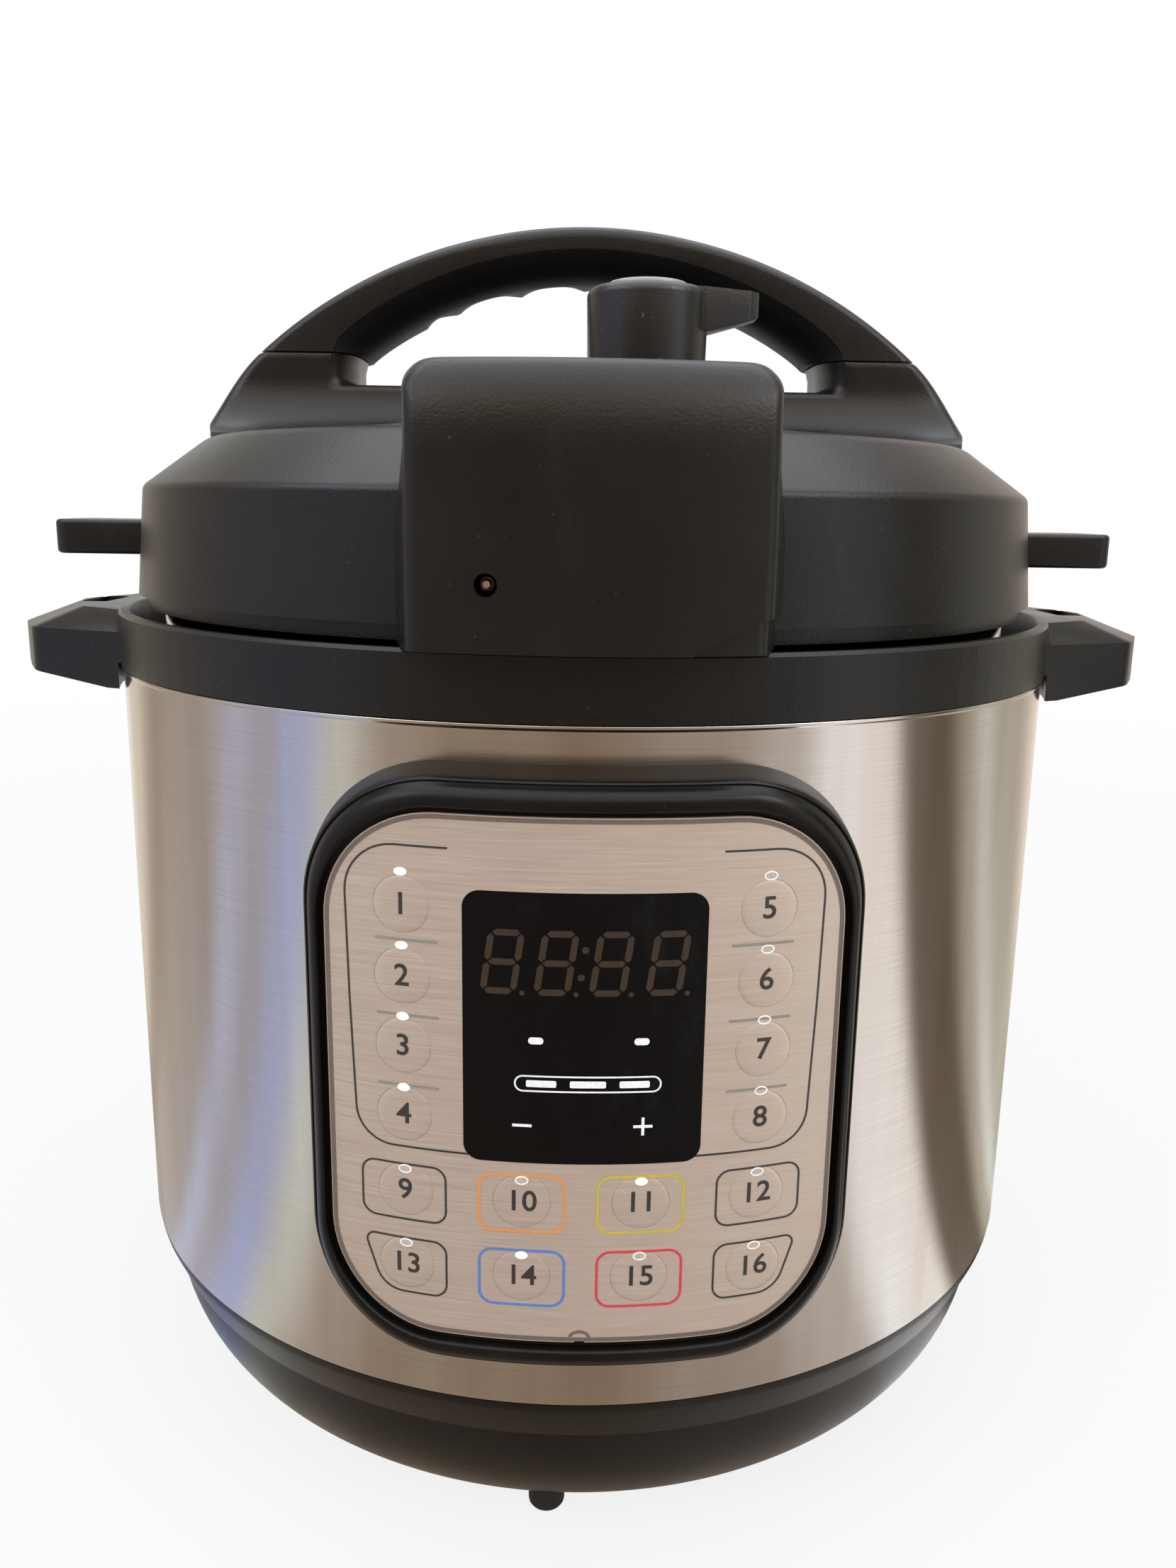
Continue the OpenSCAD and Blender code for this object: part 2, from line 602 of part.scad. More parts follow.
module steel_lid() color([0.74, 0.74, 0.74]) {
  w = lid_wall_t;
  difference() {
    rev([[lid_wall_in, lid_tooth_z], [lid_wall_in + w, lid_tooth_z], [lid_wall_in + w, seal_seat_z + w - 3],
      [lid_wall_in + w - 3, seal_seat_z + w], [lid_plate_r + w, seal_seat_z + w],
      [lid_plate_r + w, lid_plate_z + w - 3], [lid_plate_r + w - 3, lid_plate_z + w],
      [0, lid_plate_z + w], [0, lid_plate_z], [lid_plate_r - 2, lid_plate_z], [lid_plate_r, lid_plate_z - 2],
      [lid_plate_r, seal_seat_z], [lid_wall_in - 2, seal_seat_z], [lid_wall_in, seal_seat_z - 2]]);
    post(knob_bore, lid_plate_z - 2, lid_plate_z + 5, knob_x, -knob_y);
    post(float_r + slip, lid_plate_z - 2, lid_plate_z + 5, -float_x, -knob_y);
    post(4 + gap, lid_plate_z - 2, lid_plate_z + 5);
  }
  for (i = [0 : tooth_count - 1]) rotate([0, 0, i * 360 / tooth_count + 30])
    tooth_sector(lid_tooth_in, lid_wall_in + 0.2, lid_tooth_z, lid_tooth_top, tooth_angle / 2 - 1);
}
function cover_profile(o) = [[skirt_r + o, skirt_z], [shoulder_r + o, shoulder_z - 1.2],
  [shoulder_r - 1 + o, shoulder_z + 0.4], [crown_r + o / 2, crown_z - 0.6 + o],
  [crown_r - 4, crown_z + 0.6 + o], [60, crown_z + 4 + o], [0, crown_z + 5 + o]];
module lid_envelope(o) rev(concat([[0, skirt_z - 1]], [[skirt_r + o, skirt_z - 1]], cover_profile(o)));
module arch_plan(z0, z1) intersection() {
  deep(-80, 80) translate([0, arch_c]) circle(arch_r, $fn = 180);
  box([-130, -80, z0], [130, 80, z1]);
}
// Steeper lower end of the arch, below the seam
seam_x = sqrt(arch_r * arch_r - pow(seam_z - arch_c, 2));
leg_mid = [seam_x, seam_z] + leg_r / arch_r * [-seam_x, arch_c - seam_z];
module leg_plan() {
  for (s = [-1, 1]) deep(-80, 80) translate([s * leg_mid[0], leg_mid[1]]) intersection() {
    circle(leg_r);
    translate([-leg_r, -leg_r]) square([2 * leg_r, leg_r + seam_z - leg_mid[1]]);
  }
  box([-leg_mid[0], -80, crown_z - 12], [leg_mid[0], 80, seam_z]);
}
// Front-to-back form of the handle's foot, widening onto the lid
foot_flare = 16;
module foot_form() rotate([90, 0, 90]) translate([0, 0, -130]) linear_extrude(260) polygon(concat(
  [[-arch_w / 2, seam_z + 1]],
  arc([-arch_w / 2 - foot_flare, crown_z + 0.8 + foot_flare], foot_flare, 0, -90, 6),
  [[-arch_w / 2 - foot_flare, crown_z - 12], [arch_w / 2 + foot_flare, crown_z - 12]],
  arc([arch_w / 2 + foot_flare, crown_z + 0.8 + foot_flare], foot_flare, -90, -180, 6),
  [[arch_w / 2, seam_z + 1]]));
module opening_form() {
  r = 6;
  intersection() {
    union() {
      box([-opening_half + r, -80, opening_z], [opening_half - r, 80, arch_top_z]);
      box([-opening_half, -80, opening_z + r], [opening_half, 80, arch_top_z]);
      for (s = [-1, 1]) translate([s * (opening_half - r), 80, opening_z + r]) rotate([90, 0, 0])
        cylinder(r = r, h = 160);
    }
    deep(-81, 81) translate([0, crease_c]) circle(grip_arc, $fn = 180);
  }
}
module fin() intersection() {
  box([skirt_r - 4, -fin_w / 2, fin_z], [fin_reach, fin_w / 2, fin_z + fin_t]);
  union() {
    box([0, -fin_w / 2 + 4, 0], [fin_reach, fin_w / 2 - 4, 400]);
    box([0, -fin_w / 2, 0], [fin_reach - 4, fin_w / 2, 400]);
    for (s = [-1, 1]) post(4, 0, 400, fin_reach - 4, s * (fin_w / 2 - 4));
  }
}
module lid_cover() color([0.14, 0.14, 0.14]) difference() {
  union() {
    difference() {
      lid_envelope(0);
      rev([[0, skirt_z - 2], [skirt_r - wall, skirt_z - 2], [skirt_r - wall, skirt_z],
        [shoulder_r - wall, shoulder_z - 1.4], [crown_r - 1.5, crown_z - 0.6 - wall],
        [crown_r - 5, crown_z + 0.6 - wall], [60, crown_z + 4 - wall], [0, crown_z + 5 - wall]]);
    }
    difference() {
      intersection() {
        leg_plan();
        foot_form();
        post(crown_r, crown_z - 12, seam_z + 1);
      }
      lid_envelope(-wall / 2);
      opening_form();
    }
    fin();
    mirror([1, 0, 0]) fin();
    post(10, lid_plate_z + lid_wall_t, crown_z + 3);
    // Posts that stand on the steel lid, and the wall that guides the lock pin
    intersection() {
      union() {
        for (a = [0 : 60 : 300]) rotate([0, 0, a]) post(4, seal_seat_z + lid_wall_t, crown_z, crown_r + 2, 0);
        box([-pin_x - 6, -pin_guide - 3, seal_seat_z + lid_wall_t], [-pin_x + 6, -pin_guide, crown_z]);
      }
      lid_envelope(-wall / 2);
    }
  }
  post(4 + gap, lid_plate_z - 1, crown_z + 1);
  post(knob_bore + 1, crown_z - 10, crown_z + 10, knob_x, -knob_y);
  post(float_hole, crown_z - 10, crown_z + 10, -float_x, -knob_y);
  translate([-pin_x, -90, pin_z]) rotate([90, 0, 0]) cylinder(r = pin_r + fit, h = 50);
  for (s = [-1, 1]) {
    post(screw_r + gap, crown_z - 10, seam_z + 1, s * screw_x, 0);
    post(screw_head_r + slip, crown_z - 10, screw_seat_z, s * screw_x, 0);
  }
}
module lid_bolt() color([0.7, 0.7, 0.72]) {
  post(4, lid_plate_z - 4, crown_z - 2);
  post(9, lid_plate_z - 4, lid_plate_z, $fn = 6);
  rev([[0, lid_plate_z - 9], [5, lid_plate_z - 8], [7, lid_plate_z - 4 + eps], [0, lid_plate_z - 4 + eps]]);
}
// Outline of the block seen from above
module block_plan(inset) polygon([for (p = [[-block_half, -block_reach - 4], [block_half, -block_reach - 4],
  [block_half + 6, 4 - skirt_r], [block_half + 8, -95], [block_half + 9.5, -64], [-block_half - 9.5, -64],
  [-block_half - 8, -95], [-block_half - 6, 4 - skirt_r]])
  [p[0] - sign(p[0]) * inset, p[1] > -65 ? p[1] - inset : p[1]]]);
// Round front, with its top front edge and top side edges rounded
module block_form(inset, z0) intersection() {
  rev(concat([[0, z0], [block_reach - inset, z0]],
    arc([block_reach - block_round, block_top_z - block_round], block_round - inset, 0, 90, 8),
    [[0, block_top_z - inset]]));
  hull() for (a = [0 : 22.5 : 90]) let (r = block_edge - inset)
    translate([0, 0, z0]) linear_extrude(block_top_z - block_edge + r * sin(a) - z0)
      block_plan(inset + r * (1 - cos(a)));
}
block_z = ring_top_z + 0.5;
module valve_block() color([0.13, 0.13, 0.13]) difference() {
  block_form(0, block_z);
  difference() {
    block_form(wall, block_z + wall);
    knob_seat();
  }
  lid_envelope(gap);
  post(skirt_r + gap, block_z - 5, skirt_z);
  post(knob_bore + fit, crown_z, block_top_z + 1, knob_x, -knob_y);
  post(float_hole, crown_z, block_top_z + 1, -float_x, -knob_y);
  translate([-pin_x, -120, pin_z]) rotate([90, 0, 0]) cylinder(r = 2.3, h = 40);
  // Stepped lower right corner
  deep(-160, -block_reach + 6.5) polygon([[block_half - 17, block_z - 1], [block_half, block_z + 7],
    [block_half + 14, block_z + 8], [block_half + 14, block_z - 1]]);
}
module knob_seat() post(knob_bore + 3, crown_z, block_top_z, knob_x, -knob_y);
module handle_shell() color([0.15, 0.15, 0.15]) difference() {
  intersection() {
    arch_plan(seam_z, arch_top_z + 1);
    box([-130, -arch_w / 2, seam_z], [130, arch_w / 2, arch_top_z + 1]);
  }
  deep(-81, 81) translate([0, crease_c]) circle(crease_arc, $fn = 180);
  for (s = [-1, 1]) post(screw_r + fit, seam_z - 1, seam_z + screw_reach + 0.7, s * screw_x, 0);
}
grip_sag_r = (arch_w * arch_w / 4 + grip_t * grip_t) / (2 * grip_t);
module handle_grip() color([0.05, 0.05, 0.05]) difference() {
  intersection() {
    translate([0, 0, crease_c]) rotate([90, 0, 0]) rotate_extrude($fn = 180) intersection() {
      translate([grip_arc + grip_sag_r, 0]) circle(grip_sag_r);
      translate([grip_arc - 1, -arch_w / 2]) square([crease_arc - grip_arc + 1, arch_w]);
    }
    box([-120, -60, seam_z], [120, 60, arch_top_z]);
  }
  // Finger hollows along the rear edge, towards the left
  for (i = [0 : finger_count - 1]) translate([0, 0, crease_c]) rotate([0, -20 + i * 8.6, 0])
    translate([0, arch_w / 2 - 3.5, grip_arc - 3.6]) sphere(r = 9.6);
}
module handle_screws() color([0.6, 0.6, 0.62]) for (s = [-1, 1]) {
  post(screw_r, screw_seat_z - eps, seam_z + screw_reach, s * screw_x, 0);
  post(screw_head_r, screw_seat_z - 2.4, screw_seat_z, s * screw_x, 0);
}
module steam_pipe() color([0.7, 0.7, 0.7]) translate([knob_x, -knob_y, 0]) difference() {
  union() {
    post(knob_bore - eps, lid_plate_z - 3, knob_z + 12);
    post(pipe_nut_r, lid_plate_z + lid_wall_t, lid_plate_z + lid_wall_t + 3);
    post(pipe_nut_r, lid_plate_z - 3, lid_plate_z);
  }
  post(2, lid_plate_z - 4, knob_z + 13);
}
module steam_shield() color([0.75, 0.75, 0.75]) translate([knob_x, -knob_y, 0]) difference() {
  post(10.5, lid_plate_z - 14, lid_plate_z);
  post(9.5, lid_plate_z - 13, lid_plate_z + 1);
  for (a = [0 : 45 : 315]) rotate([0, 0, a]) box([8, -1.5, lid_plate_z - 11], [12, 1.5, lid_plate_z - 4]);
}
knob_wall = 2.6;
module steam_knob() color([0.1, 0.1, 0.105]) translate([knob_x, -knob_y, 0]) difference() {
  union() {
    rev(concat([[0, knob_z + slip], [knob_r, knob_z + slip]],
      arc([knob_r - 3, knob_z + knob_h - 3], 3, 0, 90, 5), [[0, knob_z + knob_h]]));
    lever();
  }
  difference() {
    post(knob_r - knob_wall, knob_z - 1, knob_z + knob_h - 4);
    post(knob_bore + 3, knob_z - 2, knob_z + knob_h);
  }
  post(knob_bore + fit, knob_z - 1, knob_z + 12.5);
  post(1.5, knob_z, knob_z + knob_h + 1);
  post(9, knob_z + knob_h - 1, knob_z + knob_h + 1);
  box([knob_r - 7, -4, knob_z - 1], [knob_r + 5, 4, knob_z + knob_h - 6]);
}
module lever() intersection() {
  translate([0, 0, knob_z]) linear_extrude(40)
    polygon([[0, -8], [knob_r - 1, -6.5], [lever_len - 2, -4], [lever_len, -2], [lever_len, 2],
      [lever_len - 2, 4], [knob_r - 1, 6.5], [0, 8]]);
  deep(-10, 10) translate([0, knob_z + knob_h])
    polygon([[0, -9], [knob_r, -8.4], [lever_len, -6.4], [lever_len + 1, -1.6], [knob_r - 2, 0], [0, 0]]);
}
module knob_cap() color([0.5, 0.5, 0.5]) translate([knob_x, -knob_y, 0])
  rev([[1.6, knob_z + knob_h - 1], [8.9, knob_z + knob_h - 1], [8.9, knob_z + knob_h + 0.6],
    [8, knob_z + knob_h + 1.4], [6.5, knob_z + knob_h + 1.6], [1.6, knob_z + knob_h + 1]]);
float_top_z = block_top_z - 1.5;
module float_valve() color([0.78, 0.78, 0.8]) translate([-float_x, -knob_y, 0]) {
  post(float_r, lid_plate_z - 7, lid_plate_z + 8);
  post(4.2, lid_plate_z - 8.5, lid_plate_z - 7);
  rev([[0, lid_plate_z + lid_wall_t + 0.4], [3.6, lid_plate_z + lid_wall_t + 0.4], [3.6, float_top_z - 1],
    [2.6, float_top_z], [0, float_top_z]]);
}
module float_seal() color([0.85, 0.85, 0.82]) translate([-float_x, -knob_y, 0])
  tube(4.6, float_r, lid_plate_z - 7, lid_plate_z - 5.2);
module lock_pin() color([0.8, 0.72, 0.62]) translate([-pin_x, 0, pin_z]) rotate([90, 0, 0]) {
  post(pin_r, pin_end, block_reach - 7);
  post(0.9, block_reach - 7.1, block_reach - 4.5);
  post(collar_r, collar_y, collar_y + collar_t);
}
module lock_spring() color([0.7, 0.7, 0.7]) translate([-pin_x, 0, pin_z]) rotate([90, 0, 0])
  translate([0, 0, collar_y + collar_t + 0.7]) coil(collar_r - 0.4, 0.4, pin_spring, 6);

base_shell();
feet();
base_screws();
power_inlet();
inlet_pins();
power_board();
pressure_switch();
steel_housing();
top_ring();
outer_pot();
heating_plate();
sensor_holder();
temperature_sensor();
sensor_spring();
thermal_fuse();
inner_pot();
panel_bezel();
panel_plate();
display_window();
display_module();
control_board();
condensation_cup();
steel_key = [0.72, 0.65, 0.6];
for (i = [0 : 3]) {
  color(steel_key) key(side_keys[i]);
  color(steel_key) key(side_keys[i + 4]);
}
for (i = [0 : 7]) color(steel_key) key(low_keys[i]);
color([0.03, 0.03, 0.03]) key(pm_keys[0]);  // key_minus
color([0.03, 0.03, 0.03]) key(pm_keys[1]);  // key_plus
sealing_ring();
seal_rack();
steel_lid();
lid_cover();
lid_bolt();
valve_block();
handle_shell();
handle_grip();
handle_screws();
steam_pipe();
steam_shield();
steam_knob();
knob_cap();
float_valve();
float_seal();
lock_pin();
lock_spring();
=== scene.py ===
# Electric pressure cooker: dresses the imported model. Pieces are drawn in millimetres and
# baked to metres. The cooker's axis is Z, the feet stand at zero, the front is -Y.
import json
import math
import bpy
import bmesh
from mathutils import Matrix, Vector


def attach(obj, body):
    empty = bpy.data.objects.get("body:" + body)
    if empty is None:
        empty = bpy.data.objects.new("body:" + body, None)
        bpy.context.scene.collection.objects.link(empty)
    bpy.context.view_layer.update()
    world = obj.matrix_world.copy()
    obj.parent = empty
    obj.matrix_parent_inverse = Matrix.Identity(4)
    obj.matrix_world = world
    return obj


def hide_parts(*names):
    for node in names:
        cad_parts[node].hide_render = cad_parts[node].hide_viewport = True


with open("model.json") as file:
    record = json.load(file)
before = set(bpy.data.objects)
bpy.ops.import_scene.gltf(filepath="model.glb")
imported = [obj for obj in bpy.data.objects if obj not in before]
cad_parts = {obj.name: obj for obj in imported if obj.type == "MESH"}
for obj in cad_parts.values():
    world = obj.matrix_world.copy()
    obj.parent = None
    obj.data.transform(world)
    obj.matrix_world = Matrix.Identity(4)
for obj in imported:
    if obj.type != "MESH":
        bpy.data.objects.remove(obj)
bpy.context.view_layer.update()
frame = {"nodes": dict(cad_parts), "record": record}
slotOf = {part["node"]: part["material_slot"] for part in frame["record"]["subparts"]}
bodyOf = {}
for bodyName, members in frame["record"]["behaviour"]["bodies"].items():
    for member in members:
        bodyOf[member] = bodyName
print("frame loaded:", len(slotOf), "nodes")


# Camera and stage

cameraSetup = {"place": (-3.12, -379.07, 251.11), "turn": (77.405, -0.879, -0.571), "lens": 28.733}
stageSetup = {"floorReach": 6000, "floorShade": 0.9, "floorGlow": 0.84, "fadeFrom": 0.35,
              "fadeTo": 1.6, "worldLight": 0.62}


def link(obj):
    bpy.context.collection.objects.link(obj)
    return obj


def addCamera():
    data = bpy.data.cameras.new("camera")
    data.lens = cameraSetup["lens"]
    data.sensor_width = 36
    data.clip_start = 0.01
    camera = link(bpy.data.objects.new("camera", data))
    camera.location = Vector(cameraSetup["place"]) * 0.001
    camera.rotation_euler = [math.radians(turn) for turn in cameraSetup["turn"]]
    bpy.context.scene.camera = camera


addCamera()
bpy.context.scene.view_settings.view_transform = "Standard"
print("camera placed")


# Small tools for node trees

def addNode(tree, kind, settings=None, **sockets):
    made = tree.nodes.new(kind)
    for name, value in (settings or {}).items():
        setattr(made, name, value)
    for name, value in sockets.items():
        made.inputs[name].default_value = value
    return made


def plug(tree, value, socket):
    if isinstance(value, bpy.types.NodeSocket):
        tree.links.new(value, socket)
    else:
        socket.default_value = value


def sums(tree, operation, first, second=0.0, third=None, clamp=False):
    made = addNode(tree, "ShaderNodeMath", {"operation": operation, "use_clamp": clamp})
    plug(tree, first, made.inputs[0])
    plug(tree, second, made.inputs[1])
    if third is not None:
        plug(tree, third, made.inputs[2])
    return made.outputs[0]


def remap(tree, value, low, high, newLow, newHigh, smooth=False):
    made = addNode(tree, "ShaderNodeMapRange", {"interpolation_type": "SMOOTHSTEP" if smooth else "LINEAR"})
    for name, number in zip(("From Min", "From Max", "To Min", "To Max"), (low, high, newLow, newHigh)):
        made.inputs[name].default_value = number
    plug(tree, value, made.inputs["Value"])
    return made.outputs["Result"]


def blendColour(tree, share, first, second):
    made = addNode(tree, "ShaderNodeMix", {"data_type": "RGBA"})
    plug(tree, share, made.inputs[0])
    for colour, socket in ((first, made.inputs[6]), (second, made.inputs[7])):
        plug(tree, (*colour, 1) if isinstance(colour, tuple) else colour, socket)
    return made.outputs[2]


def objectPlace(tree):
    return addNode(tree, "ShaderNodeTexCoord").outputs["Object"]


def noise(tree, where, scale, detail=2.0, rough=0.5, stretch=(1, 1, 1)):
    if stretch != (1, 1, 1):
        mapping = addNode(tree, "ShaderNodeMapping", Scale=stretch)
        tree.links.new(where, mapping.inputs["Vector"])
        where = mapping.outputs[0]
    made = addNode(tree, "ShaderNodeTexNoise", Scale=scale, Detail=detail, Roughness=rough)
    tree.links.new(where, made.inputs["Vector"])
    return made.outputs["Fac"]


def bumped(tree, height, strength, distance):
    made = addNode(tree, "ShaderNodeBump", Strength=strength, Distance=distance)
    tree.links.new(height, made.inputs["Height"])
    return made.outputs[0]


def aroundAxis(tree, where):
    # turns Object coordinates into the angle round Z and the height
    split = addNode(tree, "ShaderNodeSeparateXYZ")
    tree.links.new(where, split.inputs[0])
    angle = sums(tree, "ARCTAN2", split.outputs["X"], sums(tree, "MULTIPLY", split.outputs["Y"], -1.0))
    return angle, split.outputs["Z"]


def bareMaterial(name):
    material = bpy.data.materials.new(name)
    material.use_nodes = True
    tree = material.node_tree
    tree.nodes.clear()
    return material, tree, addNode(tree, "ShaderNodeOutputMaterial").inputs[0]


def grainRound(tree, where, acrossScale, heightScale, detail, rough):
    # noise laid round the axis, with its own scale along each way
    angle, height = aroundAxis(tree, where)
    line = addNode(tree, "ShaderNodeCombineXYZ")
    tree.links.new(sums(tree, "MULTIPLY", angle, acrossScale), line.inputs[0])
    tree.links.new(sums(tree, "MULTIPLY", height, heightScale), line.inputs[1])
    return noise(tree, line.outputs[0], 1.0, detail, rough)


def newMaterial(name, **sockets):
    material, tree, surface = bareMaterial(name)
    shader = addNode(tree, "ShaderNodeBsdfPrincipled")
    tree.links.new(shader.outputs[0], surface)
    for socket, value in sockets.items():
        shader.inputs[socket.replace("_", " ")].default_value = value
    return material, tree, objectPlace(tree), shader


def joined(material, shader, colour, rough, normal=None):
    # plugs what a look has worked out into its shader
    for socket, value in (("Base Color", colour), ("Roughness", rough), ("Normal", normal)):
        if value is not None:
            material.node_tree.links.new(value, shader.inputs[socket])
    return material


def mottled(tree, value, first, second, low=0.3, high=0.7):
    return blendColour(tree, remap(tree, value, low, high, 0, 1), first, second)


# Materials

def mouldedPlastic(name, colour, rough, grain=1500, grainDepth=0.25, dust=0.5, specular=0.5, wear=0.4):
    material, tree, where, shader = newMaterial(name, Specular_IOR_Level=specular)
    cloud = noise(tree, where, 22, 4, 0.6)
    skin = mottled(tree, cloud, colour, tuple(part * 1.35 + 0.002 for part in colour))
    specks = remap(tree, noise(tree, where, 900, 1, 0.4), 0.77, 0.82, 0, dust)
    smear = remap(tree, noise(tree, where, 60, 5, 0.7, (1, 1, 0.25)), 0.62, 0.8, 0, wear * 0.3)
    dusty = blendColour(tree, specks, skin, (0.17, 0.165, 0.155))
    sheen = sums(tree, "ADD", remap(tree, cloud, 0.3, 0.7, rough - 0.05, rough + 0.06),
                 sums(tree, "MULTIPLY", specks, 0.3), clamp=True)
    fine = noise(tree, where, grain, 2, 0.6)
    return joined(material, shader, blendColour(tree, smear, dusty, (0.06, 0.06, 0.058)), sheen,
                  bumped(tree, fine, grainDepth, 0.0003))


def brushedSleeve(name):
    # rubbed round the sleeve, so its lines are level and its lights are upright bands
    material, tree, where, shader = newMaterial(name, Metallic=1.0, Anisotropic=0.6,
                                                Anisotropic_Rotation=0.25)
    lines = grainRound(tree, where, 2.2, 2600, 3, 0.65)
    # upright bands of lighter and darker tone in the steel's colour: partly uneven finish, partly painted
    # reflection bands
    bands = grainRound(tree, where, 9, 2.5, 3, 0.55)
    paintedBandTone = mottled(tree, bands, (0.50, 0.445, 0.405), (0.60, 0.575, 0.555), 0.32, 0.68)
    rubbed = blendColour(tree, remap(tree, lines, 0.3, 0.75, 0, 0.5), paintedBandTone, (0.40, 0.365, 0.335))
    marks = remap(tree, noise(tree, where, 38, 4, 0.6), 0.70, 0.82, 0, 0.35)
    return joined(material, shader, blendColour(tree, marks, rubbed, (0.30, 0.285, 0.27)),
                  remap(tree, lines, 0.25, 0.75, 0.11, 0.19), bumped(tree, lines, 0.06, 0.0002))


def plainMetal(name, colour, rough):
    material, tree, where, shader = newMaterial(name, Metallic=1.0)
    rub = noise(tree, where, 900, 3, 0.6)
    cloud = noise(tree, where, 30, 3, 0.5)
    darker = tuple(part * 0.82 for part in colour)
    return joined(material, shader, mottled(tree, cloud, darker, colour),
                  remap(tree, rub, 0.3, 0.7, rough - 0.05, rough + 0.09), bumped(tree, rub, 0.08, 0.0002))


def champagneFilm(name):
    # printed metal film with level hairlines, and painted shade and light from its left to its right
    material, tree, where, shader = newMaterial(name, Metallic=0.35, Coat_Weight=0.25, Coat_Roughness=0.2)
    lines = grainRound(tree, where, 7, 2100, 2, 0.6)
    # colour painted from darker at the plate's left to lighter at its right: painted shade and light across
    # the plate
    base = mottled(tree, aroundAxis(tree, where)[0], (0.475, 0.372, 0.314), (0.552, 0.445, 0.367), -0.4, 0.4)
    film = blendColour(tree, remap(tree, lines, 0.3, 0.7, 0, 0.75), base, (0.63, 0.53, 0.46))
    return joined(material, shader, film, remap(tree, lines, 0.3, 0.7, 0.34, 0.46),
                  bumped(tree, lines, 0.1, 0.0001))


def displayFilm(name):
    material, tree, where, shader = newMaterial(name, Specular_IOR_Level=0.14)
    smudge = noise(tree, where, 95, 4, 0.65, (1, 1, 0.5))
    marks = remap(tree, smudge, 0.6, 0.8, 0, 0.25)
    return joined(material, shader, blendColour(tree, marks, (0.0035, 0.0033, 0.0035), (0.03, 0.03, 0.032)),
                  remap(tree, smudge, 0.3, 0.8, 0.16, 0.36))


def printedInk(name, colour, glow=0.0, rough=0.45):
    material, tree, where, shader = newMaterial(name, Emission_Color=(*colour, 1), Emission_Strength=glow)
    worn = noise(tree, where, 1600, 2, 0.6)
    paler = tuple(min(1.0, part * 1.15 + 0.004) for part in colour)
    return joined(material, shader, mottled(tree, worn, colour, paler, 0.35, 0.65),
                  remap(tree, worn, 0.3, 0.7, rough - 0.05, rough + 0.08))


def clearPlastic(name):
    material, tree, where, shader = newMaterial(name, Transmission_Weight=0.9, IOR=1.49)
    haze = noise(tree, where, 260, 3, 0.6)
    return joined(material, shader, mottled(tree, haze, (0.84, 0.87, 0.88), (0.93, 0.95, 0.95)),
                  remap(tree, haze, 0.3, 0.7, 0.12, 0.24))


looks = {
    "black_plastic": mouldedPlastic("blackPlastic", (0.0042, 0.0037, 0.0033), rough=0.34, dust=0.25,
                                    specular=0.31),
    "soft_grip": mouldedPlastic("softGrip", (0.005, 0.0047, 0.0045), rough=0.5, grain=2200, grainDepth=0.4,
                                dust=0.1, specular=0.3),
    "black_knob": mouldedPlastic("knobPlastic", (0.0085, 0.0083, 0.0085), rough=0.3, dust=0.7,
                                 specular=0.45, wear=0.6),
    "grey_cap": mouldedPlastic("greyCap", (0.3, 0.29, 0.28), rough=0.22, dust=0.7, grainDepth=0.1),
    "foot_rubber": mouldedPlastic("footRubber", (0.012, 0.012, 0.012), rough=0.62, grain=1800,
                                  grainDepth=0.5),
    "white_silicone": mouldedPlastic("whiteSilicone", (0.62, 0.61, 0.57), rough=0.42, dust=0.0, wear=0.0),
    "brushed_sleeve": brushedSleeve("brushedSleeve"),
    "polished_steel": plainMetal("polishedSteel", (0.62, 0.61, 0.6), 0.16),
    "pot_aluminium": plainMetal("potAluminium", (0.56, 0.56, 0.57), 0.38),
    "plain_steel": plainMetal("plainSteel", (0.5, 0.5, 0.5), 0.3),
    "brass_parts": plainMetal("brassParts", (0.66, 0.5, 0.42), 0.3),
    "champagne_panel": champagneFilm("champagneFilm"),
    "display_black": displayFilm("displayFilm"),
    "board_green": mouldedPlastic("boardGreen", (0.03, 0.12, 0.05), rough=0.35, dust=0.3),
    "pale_plastic": mouldedPlastic("palePlastic", (0.6, 0.58, 0.5), rough=0.4, dust=0.1, wear=0.1),
    "clear_cup": clearPlastic("clearCup"),
}
# what lies on a slot's own look: print, lamps, painted glow on the white print, the ghost segments and the
# lamp rims, painted shade along the plate's edge bevel, and the bezel's smoother black
inks = {
    "dark": printedInk("darkInk", (0.028, 0.025, 0.026)),
    "divider": printedInk("dividerInk", (0.25, 0.22, 0.19)),
    "orange": printedInk("orangeInk", (0.72, 0.27, 0.06)),
    "yellow": printedInk("yellowInk", (0.55, 0.42, 0.03)),
    "blue": printedInk("blueInk", (0.08, 0.19, 0.52)),
    "red": printedInk("redInk", (0.62, 0.035, 0.05)),
    # the white print glows faintly: painted light
    "white": printedInk("whiteInkPaintedGlow", (0.8, 0.8, 0.8), 0.1),
    # the unlit ghost segments glow faintly: painted light
    "segment": printedInk("ghostSegmentPaintedGlow", (0.026, 0.016, 0.0095), 0.35, 0.3),
    "ledOn": printedInk("ledGlow", (0.86, 0.83, 0.8), 0.25, 0.3),
    "ledOff": printedInk("ledClear", (0.5, 0.43, 0.38), 0.0, 0.3),
    # a darker strip along the plate's edge bevel and round its notch: painted shade
    "bevelShade": printedInk("bevelShadeBorder", (0.16, 0.115, 0.095), 0.0, 0.35),
    # the rims round the dark lamps glow faintly: painted light
    "ledRimPaintedGlow": printedInk("ledRimPaintedGlow", (0.86, 0.84, 0.82), 0.1, 0.3),
    "bezel": mouldedPlastic("bezelPlastic", (0.0038, 0.0034, 0.0032), rough=0.3, grainDepth=0.1, dust=0.1,
                            specular=0.2),
}
print("materials made:", len(looks) + len(inks))


# Small tools for shapes, in millimetres

